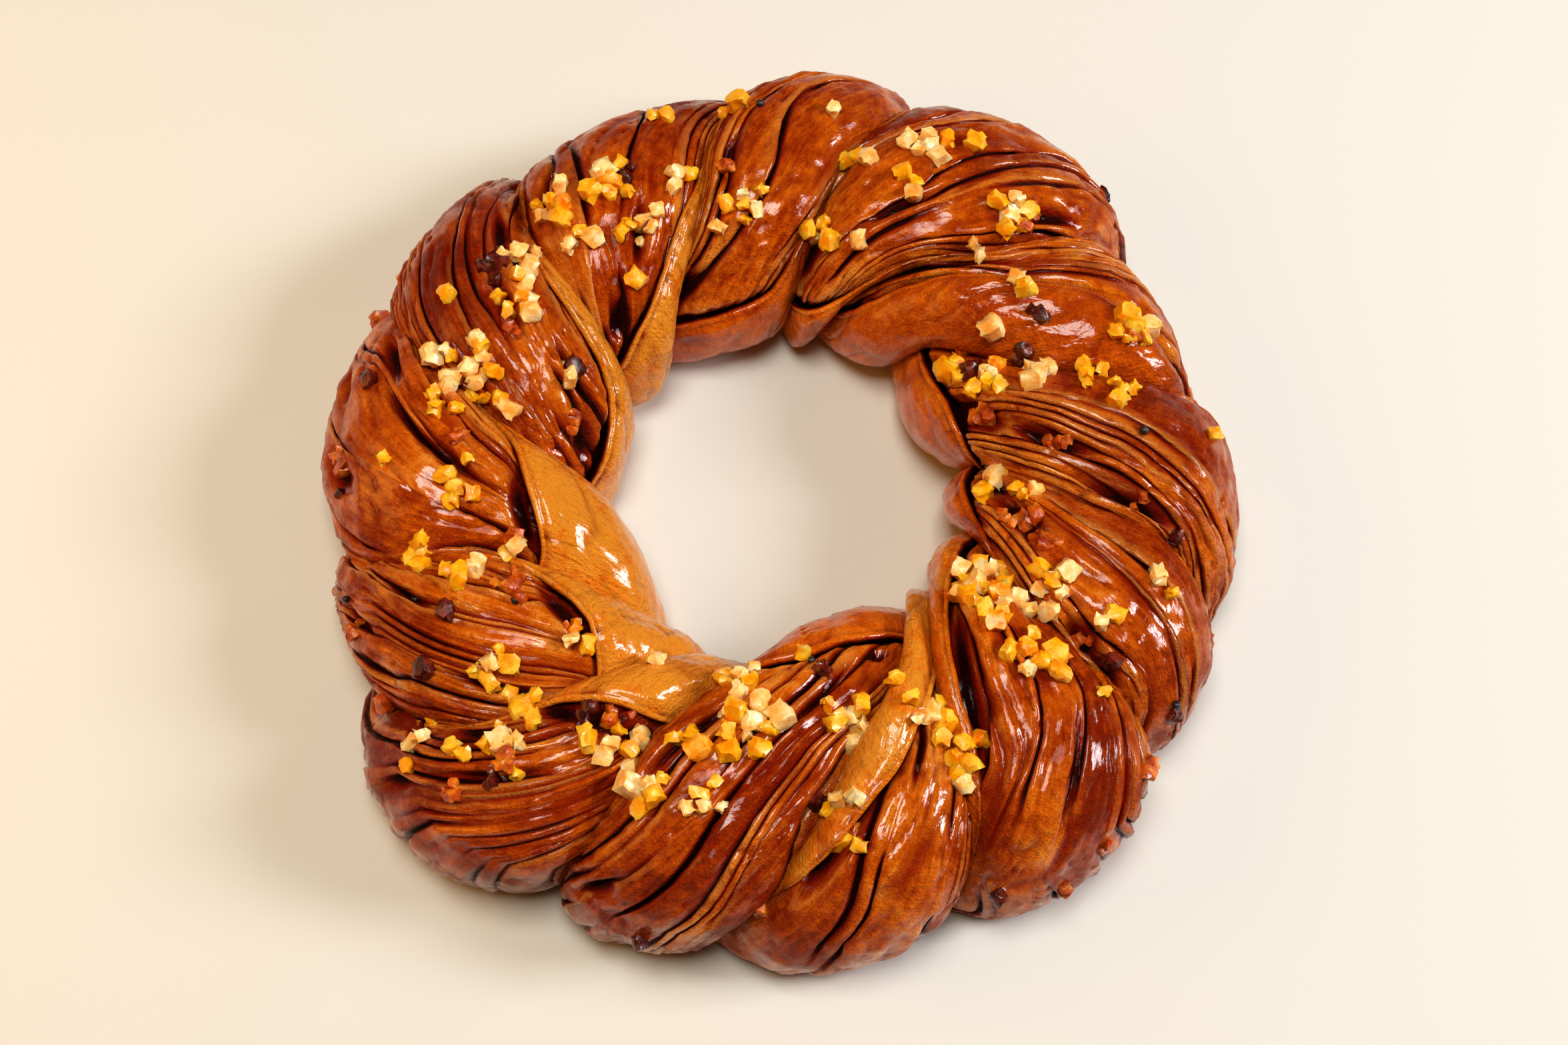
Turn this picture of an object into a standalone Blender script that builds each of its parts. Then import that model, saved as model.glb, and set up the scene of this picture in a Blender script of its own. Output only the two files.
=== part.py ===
"""Twisted ring of laminated sweet dough with diced candied peel baked onto it.

Metres, +Z up. The ring lies flat on its base around the origin; +Y is its far side. Angles round
the ring run clockwise from +Y. Angles over the loaf run from the hole side (negative), across the
top (0) to the rim (positive).
"""

import math
import random

import bmesh
import bpy
import numpy as np

MM = 0.001
NODE = "twisted_ring"
SEED = 7

# Loaf section: a flattened oval swept round the hole, millimetres
RING_RADIUS = 101.0
HALF_WIDTH = 46.0
LOAF_HEIGHT = 53.0
WIDEST_HEIGHT = 17.0
BASE_OVERSHOOT = 6.0
SECTION_POWER = 2.3
UNDER_ANGLE = 150.0
CORE_INSET = 9.0

# Lobe section: how far a lobe stands up and how far its sides sink between its neighbours
LOBE_CROWN = 3.0
LOBE_SINK = 16.0
LOBE_ROOT = 13.0
LOBE_OVERLAP = 0.09
SHOULDER_POWER = 2.9
TUCKED_POWER = 2.0

# Layers of dough showing along a lobe, as sheets with a groove between each two
LAYERS = 6
GROOVE_DEPTH = 2.2
LAYER_UNEVEN = 0.3
LAYER_WANDER = 0.05
LAYER_LEAN = 0.2
GROOVE_SHARE = -0.7
SHEET_SHARE = 0.3
WANDER_WAVES = 2
FADE_WAVES = 3
FADE_AMOUNT = 0.25
EDGE_MARGIN = 0.01

# Where the seam on the clockwise side of each lobe runs, degrees round the ring at five stations
STATIONS = (-64.0, -26.0, 0.0, 26.0, 61.0)
SEAMS = (
    (5.0, 8.0, 10.5, 15.0, 17.5),
    (22.0, 34.0, 45.5, 50.0, 52.0),
    (49.0, 67.0, 74.5, 78.5, 80.0),
    (89.0, 97.0, 100.5, 103.0, 107.0),
    (111.0, 120.0, 125.0, 126.5, 127.5),
    (133.0, 145.0, 150.0, 152.5, 155.0),
    (141.0, 154.0, 168.0, 175.0, 180.5),
    (181.0, 194.0, 201.0, 202.5, 204.5),
    (203.0, 211.0, 219.0, 224.0, 231.0),
    (222.0, 242.0, 249.5, 252.0, 256.0),
    (266.0, 273.5, 280.6, 287.0, 292.0),
    (305.0, 309.0, 311.5, 315.0, 319.0),
    (329.0, 340.0, 345.6, 350.0, 356.0),
)
# Most turn of a seam down the wall of the hole, degrees round the ring per degree over the loaf
HOLE_TWIST = 0.25
# How far each lobe stands out beyond the even loaf at the hole, on top and at the rim, millimetres
SWELL_REACH = 75.0
SWELL = (
    (0.0, 0.0, -1.0),
    (0.0, 0.0, 1.0),
    (0.0, 0.0, -11.0),
    (5.0, 1.0, -3.0),
    (0.0, -1.0, -1.0),
    (-2.0, 1.0, 8.0),
    (-3.0, -1.0, 6.0),
    (3.0, 2.0, 5.0),
    (-10.0, 0.0, 12.0),
    (-7.0, 0.0, -5.0),
    (3.0, 1.0, -4.0),
    (3.0, 1.0, -4.0),
    (0.0, -1.0, -8.0),
)

# Heaps of diced peel on each lobe: angle over the loaf, place across the lobe, dice in the heap
HEAPS = (
    ((-19, -0.16, 6), (27, -0.73, 2)),
    ((-30, -0.73, 5), (-8, 0.97, 2), (-2, -0.08, 3), (4, -0.8, 3), (9, 0.74, 6), (13, -0.3, 6)),
    ((-9, -0.14, 2), (16, 0.55, 6)),
    ((-51, -0.68, 4), (-39, -0.35, 5), (-19, -0.72, 4), (-1, -0.8, 5), (6, -0.54, 3)),
    ((-51, -0.36, 3), (-30, -0.5, 3), (-6, 0.66, 6), (12, 0.51, 2)),
    ((-31, -0.42, 12), (-16, -0.53, 6), (2, -0.4, 7), (9, 0.76, 2)),
    ((-3, -0.62, 6), (17, -0.93, 4), (14, 0.83, 3), (30, 0.58, 2)),
    ((-27, 0.7, 6), (-11, -0.75, 6), (-9, 0.2, 10), (-2, 0.63, 3), (15, 0.18, 5), (15, 0.75, 5)),
    ((6, -0.53, 7), (11, 0.91, 3), (24, 0.65, 4), (39, 0.73, 2), (53, 0.92, 4)),
    ((-16, -0.3, 2), (3, 0.66, 3), (11, -0.55, 5)),
    ((-17, -0.81, 2), (-2, -0.29, 4), (3, 0.65, 3), (14, -0.94, 4)),
    ((-39, 0.0, 2), (-19, -0.73, 2), (-8, 0.35, 6), (-3, -0.73, 10), (1, 0.7, 5), (7, -0.69, 2)),
    ((-15, 0.26, 5), (-7, -0.51, 3), (-2, 0.75, 3), (2, 0.0, 6), (8, -0.6, 6), (28, 0.49, 2)),
)
STRAYS_PER_LOBE = 2
STRAY_REACH = (-40.0, 45.0)
STRAY_SPREAD = 0.8
DICE_SIZE = 5.2
DICE_SPACING = 3.0
DICE_UNEVEN = 0.22
DICE_SKEW = 0.25
DICE_SUNK = 0.3
DICE_REST_REACH = 2.0
DICE_REST_TURN = 1.0
HEAP_LOOSE = 0.4
MM_PER_DEGREE_OVER = 1.0
HEAP_TURN = 2.4
HEAP_SHARE = 4

# Mesh density
LOBE_STEPS = 21
CORE_SEGMENTS = 64
CORE_POINTS = 16
TRAY_SIZE = 0.4

CRUST_COLOR = (0.27, 0.07, 0.02, 1)
CRUST_ROUGHNESS = 0.35


def signed_power(value, power):
    """Superellipse helper: keeps the sign of a sine or cosine."""
    return np.sign(value) * np.abs(value) ** power


def loaf_section(over, inset=0.0):
    """Radius and height of the even loaf's surface, and its outward normal, at an angle over it."""
    a = np.radians(over)
    power = 2.0 / SECTION_POWER
    across = HALF_WIDTH - inset
    up = np.where(
        np.cos(a) >= 0,
        LOAF_HEIGHT - WIDEST_HEIGHT - inset,
        WIDEST_HEIGHT + BASE_OVERSHOOT,
    )
    x = signed_power(np.sin(a), power)
    z = signed_power(np.cos(a), power)
    nx = signed_power(x, SECTION_POWER - 1) / across
    nz = signed_power(z, SECTION_POWER - 1) / up
    size = np.hypot(nx, nz)
    return RING_RADIUS + across * x, WIDEST_HEIGHT + up * z, nx / size, nz / size


def seam_angle(index, over):
    """Where a seam crosses the loaf: a smooth curve through its stations, straight beyond them."""
    turns, row = divmod(index, len(SEAMS))
    at = np.array(STATIONS)
    value = np.array(SEAMS[row]) + 360.0 * turns
    slope = np.gradient(value, at)
    over = np.asarray(over, float)
    k = np.clip(np.searchsorted(at, over) - 1, 0, len(at) - 2)
    width = at[k + 1] - at[k]
    t = np.clip((over - at[k]) / width, 0, 1)
    curve = (
        (2 * t**3 - 3 * t**2 + 1) * value[k]
        + (t**3 - 2 * t**2 + t) * width * slope[k]
        + (3 * t**2 - 2 * t**3) * value[k + 1]
        + (t**3 - t**2) * width * slope[k + 1]
    )
    before = np.minimum(over - at[0], 0) * min(slope[0], HOLE_TWIST)
    after = np.maximum(over - at[-1], 0) * slope[-1]
    return curve + before + after


def swell(row, over):
    """Extra height of one lobe, blended from hole side over the top to the rim."""
    at_hole, on_top, at_rim = SWELL[row]
    side = np.clip(np.asarray(over, float) / SWELL_REACH, -1, 1)
    rim = np.sin(np.maximum(side, 0) * math.pi / 2) ** 2
    hole = np.sin(np.maximum(-side, 0) * math.pi / 2) ** 2
    return on_top * (1 - rim - hole) + at_rim * rim + at_hole * hole


def lobe_bulge(across):
    """Height of a lobe's rounded back from 0 at its sides to 1: steep shoulder, tucked other side."""
    power = np.where(across > 0, SHOULDER_POWER, TUCKED_POWER)
    return (1 - np.minimum(np.abs(across), 1) ** power) ** (1 / power)


def lobe_span(index, over):
    """Middle of a lobe and half its width between its two seams, degrees round the ring."""
    left = seam_angle(index - 1, over)
    right = seam_angle(index, over)
    return (left + right) / 2, (right - left) / 2


def lobe_rise(index, over, across):
    """How far a lobe's smooth back stands above the even loaf, millimetres."""
    stands = LOBE_SINK + LOBE_CROWN + swell(index % len(SEAMS), over)
    return stands * lobe_bulge(across) - LOBE_SINK


def loaf_point(over, turn, rise):
    """The point this far above the even loaf's surface."""
    radius, height, nr, nz = loaf_section(over)
    r = radius + nr * rise
    t = np.radians(turn)
    return np.stack([r * np.sin(t), r * np.cos(t), height + nz * rise], -1)


def lobe_points(index, over, across, lift):
    """Points of a lobe's back; across runs from -1 at its anticlockwise side to 1."""
    middle, half = lobe_span(index, over)
    turn = middle + half * (1 + LOBE_OVERLAP) * across
    return loaf_point(over, turn, lobe_rise(index, over, across) + lift)


def ring_point(over, turn):
    """The point on whichever lobe lies uppermost there."""
    rise = -LOBE_SINK
    for index in range(-1, len(SEAMS) + 1):
        middle, half = lobe_span(index, over)
        across = (turn - middle) / (half * (1 + LOBE_OVERLAP))
        if abs(across) < 1:
            rise = max(rise, float(lobe_rise(index, over, across)))
    return loaf_point(over, turn, rise)


def layer_lines(index, over):
    """Where the grooves and the sheets between them lie across a lobe, and how deep each goes."""
    rng = np.random.default_rng(SEED + index)
    widths = 1 + LAYER_UNEVEN * rng.uniform(-1, 1, LAYERS)
    grooves = np.concatenate([[0], np.cumsum(widths)]) / widths.sum() * 2 - 1
    sheets = grooves[:-1] + np.diff(grooves) * (0.5 + LAYER_LEAN)
    lines = np.sort(np.concatenate([grooves, sheets]))
    inner = (1 - lines**2)[None, :]
    phase = rng.uniform(0, 2 * math.pi, len(lines))[None, :]
    wander = LAYER_WANDER * np.sin(np.radians(over) * WANDER_WAVES + phase) * inner
    across = np.sin((lines[None, :] + wander) * math.pi / 2)
    share = np.where(np.arange(len(lines)) % 2 == 0, GROOVE_SHARE, SHEET_SHARE)
    fade = 1 + FADE_AMOUNT * (np.sin(np.radians(over) * FADE_WAVES + 2 * phase) - 1)
    return across, GROOVE_DEPTH * share[None, :] * fade * (inner > EDGE_MARGIN)


def lobe_rows(index):
    """Closed rings of points along a lobe: its ridged back, then its root inside the core."""
    over = np.linspace(-UNDER_ANGLE, UNDER_ANGLE, LOBE_STEPS)[:, None]
    across, depth = layer_lines(index, over)
    back = lobe_points(index, over, across, depth)
    foot = lobe_points(index, over, np.array([[1.0, -1.0]]) + 0 * over, -LOBE_ROOT)
    return np.concatenate([back, foot], 1)


def mesh_object(name, points, faces):
    """Object from points in millimetres, its faces turned to look outwards."""
    mesh = bpy.data.meshes.new(name)
    mesh.from_pydata([tuple(point * MM) for point in points], [], faces)
    turned = bmesh.new()
    turned.from_mesh(mesh)
    bmesh.ops.recalc_face_normals(turned, faces=turned.faces)
    turned.to_mesh(mesh)
    turned.free()
    return bpy.data.objects.new(name, mesh)


def grid_object(name, rows, wrap):
    """Skin over rings of points, each closed; the rows close on themselves or end in caps."""
    count, around = rows.shape[:2]
    faces = []
    for i in range(count if wrap else count - 1):
        j = (i + 1) % count
        for k in range(around):
            m = (k + 1) % around
            faces.append((i * around + k, i * around + m, j * around + m))
            faces.append((i * around + k, j * around + m, j * around + k))
    if not wrap:
        faces.append(tuple(reversed(range(around))))
        faces.append(tuple(range((count - 1) * around, count * around)))
    return mesh_object(name, rows.reshape(-1, 3), faces)


def core_object():
    """The even loaf a little below the lobes, so nothing between them is hollow."""
    turn = np.radians(np.linspace(0, 360, CORE_SEGMENTS, endpoint=False))[:, None]
    over = np.linspace(-180, 180, CORE_POINTS, endpoint=False)[None, :]
    radius, height, _, _ = loaf_section(over, CORE_INSET)
    r = radius + 0 * turn
    rows = np.stack([r * np.sin(turn), r * np.cos(turn), height + 0 * turn], -1)
    return grid_object("core", rows, True)


def heap_spots(index):
    """Each piece of peel on a lobe: its angle over the loaf and round the ring, and its rank."""
    rng = random.Random(SEED * 100 + index)
    heaps = list(HEAPS[index])
    for _ in range(STRAYS_PER_LOBE):
        heaps.append((rng.uniform(*STRAY_REACH), rng.uniform(-STRAY_SPREAD, STRAY_SPREAD), 1))
    spots = []
    for over, across, count in heaps:
        middle, half = lobe_span(index, over)
        per_degree = math.radians(1) * float(loaf_section(over)[0])
        first = rng.uniform(0, 2 * math.pi)
        for rank in range(count):
            reach = DICE_SPACING * math.sqrt(rank + rng.uniform(0, HEAP_LOOSE))
            way = first + rank * HEAP_TURN
            spot_over = over + reach * math.cos(way) / MM_PER_DEGREE_OVER
            spot_turn = middle + half * across + reach * math.sin(way) / per_degree
            spots.append((spot_over, spot_turn, rank))
    return spots


def dice_object(name, over, turn_round, rng):
    """One uneven block of peel, sunk a little into the crust it lies on."""
    at = ring_point(over, turn_round)
    reach, sway = DICE_REST_REACH, DICE_REST_TURN
    along = ring_point(over + reach, turn_round) - ring_point(over - reach, turn_round)
    side = ring_point(over, turn_round + sway) - ring_point(over, turn_round - sway)
    side = side / np.linalg.norm(side)
    out = np.cross(side, along)
    out = out / np.linalg.norm(out)
    along = np.cross(out, side)
    turn = rng.uniform(0, math.pi)
    u = side * math.cos(turn) + along * math.sin(turn)
    v = np.cross(out, u)
    size = DICE_SIZE * rng.uniform(1 - DICE_UNEVEN, 1 + DICE_UNEVEN)
    edges = []
    for axis, skew in ((u, v), (v, out), (out, u)):
        length = size * rng.uniform(1 - DICE_UNEVEN, 1 + DICE_UNEVEN)
        edges.append((axis + skew * rng.uniform(-DICE_SKEW, DICE_SKEW)) * length / 2)
    middle = at + out * size * (0.5 - DICE_SUNK)
    signs = [(a, b, c) for a in (-1, 1) for b in (-1, 1) for c in (-1, 1)]
    corners = [middle + a * edges[0] + b * edges[1] + c * edges[2] for a, b, c in signs]
    faces = [(0, 1, 3, 2), (4, 6, 7, 5), (0, 4, 5, 1), (2, 3, 7, 6), (0, 2, 6, 4), (1, 5, 7, 3)]
    return mesh_object(name, corners, faces)


def peel_objects():
    """The diced peel big enough to be told apart: every fourth piece of each heap."""
    rng = random.Random(SEED)
    found = []
    for index in range(len(SEAMS)):
        for over, turn, rank in heap_spots(index):
            if rank % HEAP_SHARE == 0:
                found.append(dice_object("dice_%03d" % len(found), over, turn, rng))
    return found


def base_cutter():
    """Everything below the tray the ring was baked on."""
    mesh = bpy.data.meshes.new("tray")
    box = bmesh.new()
    bmesh.ops.create_cube(box, size=TRAY_SIZE)
    bmesh.ops.translate(box, verts=box.verts, vec=(0, 0, -TRAY_SIZE / 2))
    box.to_mesh(mesh)
    box.free()
    return bpy.data.objects.new("tray", mesh)


def fuse(ring, pieces, operation):
    """One Boolean of the ring with a collection, applied; the collection's objects then go."""
    group = bpy.data.collections.new("pieces")
    bpy.context.scene.collection.children.link(group)
    for piece in pieces:
        group.objects.link(piece)
    cut = ring.modifiers.new("fuse", "BOOLEAN")
    cut.operation = operation
    cut.operand_type = "COLLECTION"
    cut.collection = group
    cut.solver = "MANIFOLD"
    graph = bpy.context.evaluated_depsgraph_get()
    mesh = bpy.data.meshes.new_from_object(ring.evaluated_get(graph))
    ring.modifiers.clear()
    ring.data = mesh
    for piece in pieces:
        bpy.data.objects.remove(piece)
    bpy.data.collections.remove(group)


def keep_largest(ring):
    """Drops loose scraps, leaving the one body."""
    body = bmesh.new()
    body.from_mesh(ring.data)
    body.verts.ensure_lookup_table()
    seen = set()
    shells = []
    for start in body.verts:
        if start in seen:
            continue
        shell = [start]
        seen.add(start)
        for vert in shell:
            for edge in vert.link_edges:
                other = edge.other_vert(vert)
                if other not in seen:
                    seen.add(other)
                    shell.append(other)
        shells.append(shell)
    shells.sort(key=len)
    for shell in shells[:-1]:
        bmesh.ops.delete(body, geom=shell, context="VERTS")
    bmesh.ops.triangulate(body, faces=body.faces)
    body.to_mesh(ring.data)
    body.free()


def centre(ring):
    """Moves the mesh so its bounding box stands on the origin."""
    count = len(ring.data.vertices)
    points = np.empty(count * 3)
    ring.data.vertices.foreach_get("co", points)
    points = points.reshape(-1, 3)
    low, high = points.min(0), points.max(0)
    shift = np.array([(low[0] + high[0]) / 2, (low[1] + high[1]) / 2, low[2]])
    ring.data.vertices.foreach_set("co", (points - shift).ravel())
    ring.data.update()


def crust_material():
    """Baked, syrup-glazed dough."""
    crust = bpy.data.materials.new("glazed_crust")
    crust.use_nodes = True
    shader = crust.node_tree.nodes["Principled BSDF"]
    shader.inputs["Base Color"].default_value = CRUST_COLOR
    shader.inputs["Roughness"].default_value = CRUST_ROUGHNESS
    shader.inputs["Metallic"].default_value = 0.0
    return crust


def main():
    for obj in list(bpy.data.objects):
        bpy.data.objects.remove(obj)
    ring = core_object()
    ring.name = NODE
    bpy.context.scene.collection.objects.link(ring)
    lobes = [
        grid_object("lobe_%02d" % index, lobe_rows(index), False) for index in range(len(SEAMS))
    ]
    fuse(ring, lobes, "UNION")
    fuse(ring, [base_cutter()], "DIFFERENCE")
    fuse(ring, peel_objects(), "UNION")
    keep_largest(ring)
    centre(ring)
    ring.data.materials.clear()
    ring.data.materials.append(crust_material())


main()
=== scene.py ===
import math
import random
from functools import partial

import bpy
import numpy as np
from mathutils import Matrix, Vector


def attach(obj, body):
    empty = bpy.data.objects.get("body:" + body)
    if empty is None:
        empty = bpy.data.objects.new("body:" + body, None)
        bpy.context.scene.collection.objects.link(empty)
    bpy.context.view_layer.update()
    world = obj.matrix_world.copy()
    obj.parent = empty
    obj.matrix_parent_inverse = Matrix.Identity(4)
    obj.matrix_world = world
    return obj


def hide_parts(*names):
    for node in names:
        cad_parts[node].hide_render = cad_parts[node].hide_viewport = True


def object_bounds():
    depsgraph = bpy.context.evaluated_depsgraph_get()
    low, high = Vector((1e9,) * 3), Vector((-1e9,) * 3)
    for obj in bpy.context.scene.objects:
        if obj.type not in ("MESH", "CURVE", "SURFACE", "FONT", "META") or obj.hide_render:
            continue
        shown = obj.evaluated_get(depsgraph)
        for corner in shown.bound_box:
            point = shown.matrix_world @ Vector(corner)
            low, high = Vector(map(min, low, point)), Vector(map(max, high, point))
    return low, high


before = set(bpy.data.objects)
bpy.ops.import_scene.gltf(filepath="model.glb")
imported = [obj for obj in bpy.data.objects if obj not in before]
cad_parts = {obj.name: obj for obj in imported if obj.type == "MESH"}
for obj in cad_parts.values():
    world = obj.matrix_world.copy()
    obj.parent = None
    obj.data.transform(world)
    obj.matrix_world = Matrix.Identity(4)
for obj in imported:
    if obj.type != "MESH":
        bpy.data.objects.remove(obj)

cadBox = [list(corner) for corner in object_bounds()]
mm = 0.001
node = "twisted_ring"
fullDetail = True
degreeMm = 0.8  # one degree over the loaf

# The even loaf that the lobes lie over, in millimetres and degrees
loaf = {
    "ringRadius": 101.0,
    "halfWidth": 46.0,
    "height": 53.0,
    "widestHeight": 17.0,
    "baseOvershoot": 6.0,
    "sectionPower": 2.3,
    "middle": (-0.875, 3.914),  # centre of the ring in the frame
    "underside": 0.4,  # the lobes end this far above the baked base
    "boxMargin": (0.15, 1.5),  # relief stays this far inside the CAD box, and is eased from the second on
}

# The thirteen lobes: back, sides and the seams between them
lobes = {
    "crown": 2.2,
    "sink": 16.0,
    "root": 13.0,
    "overlap": 0.09,
    "shoulderPower": 2.9,
    "tuckedPower": 2.0,
    "holeTwist": 0.25,
    "swellReach": 75.0,
    "stations": (-64.0, -26.0, 0.0, 26.0, 61.0),  # degrees over the loaf, hole side negative
    "seams": (  # degrees round the ring at each station
        (5, 8, 10.5, 15, 17.5), (22, 34, 45.5, 50, 52), (49, 67, 74.5, 78.5, 80),
        (89, 97, 100.5, 103, 107), (111, 120, 125, 126.5, 127.5), (133, 145, 150, 152.5, 155),
        (141, 154, 168, 175, 180.5), (181, 194, 201, 202.5, 204.5), (203, 211, 219, 224, 231),
        (222, 242, 249.5, 252, 256), (266, 273.5, 280.6, 287, 292), (305, 309, 311.5, 315, 319),
        (329, 340, 345.6, 350, 356),
    ),
    "swell": (  # standing out at the hole, on top and at the rim
        (0, 0, -1), (0, 0, 1), (0, 0, -11), (5, 1, -3), (0, -1, -1),
        (-2, 1, 8), (-3, -1, 6), (3, 2, 5), (-10, 0, 12), (-7, 0, -5),
        (3, 1, -4), (3, 1, -4), (0, -1, -8),
    ),
}
lobeNames = "ABCDEFGHIJKLM"

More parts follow.
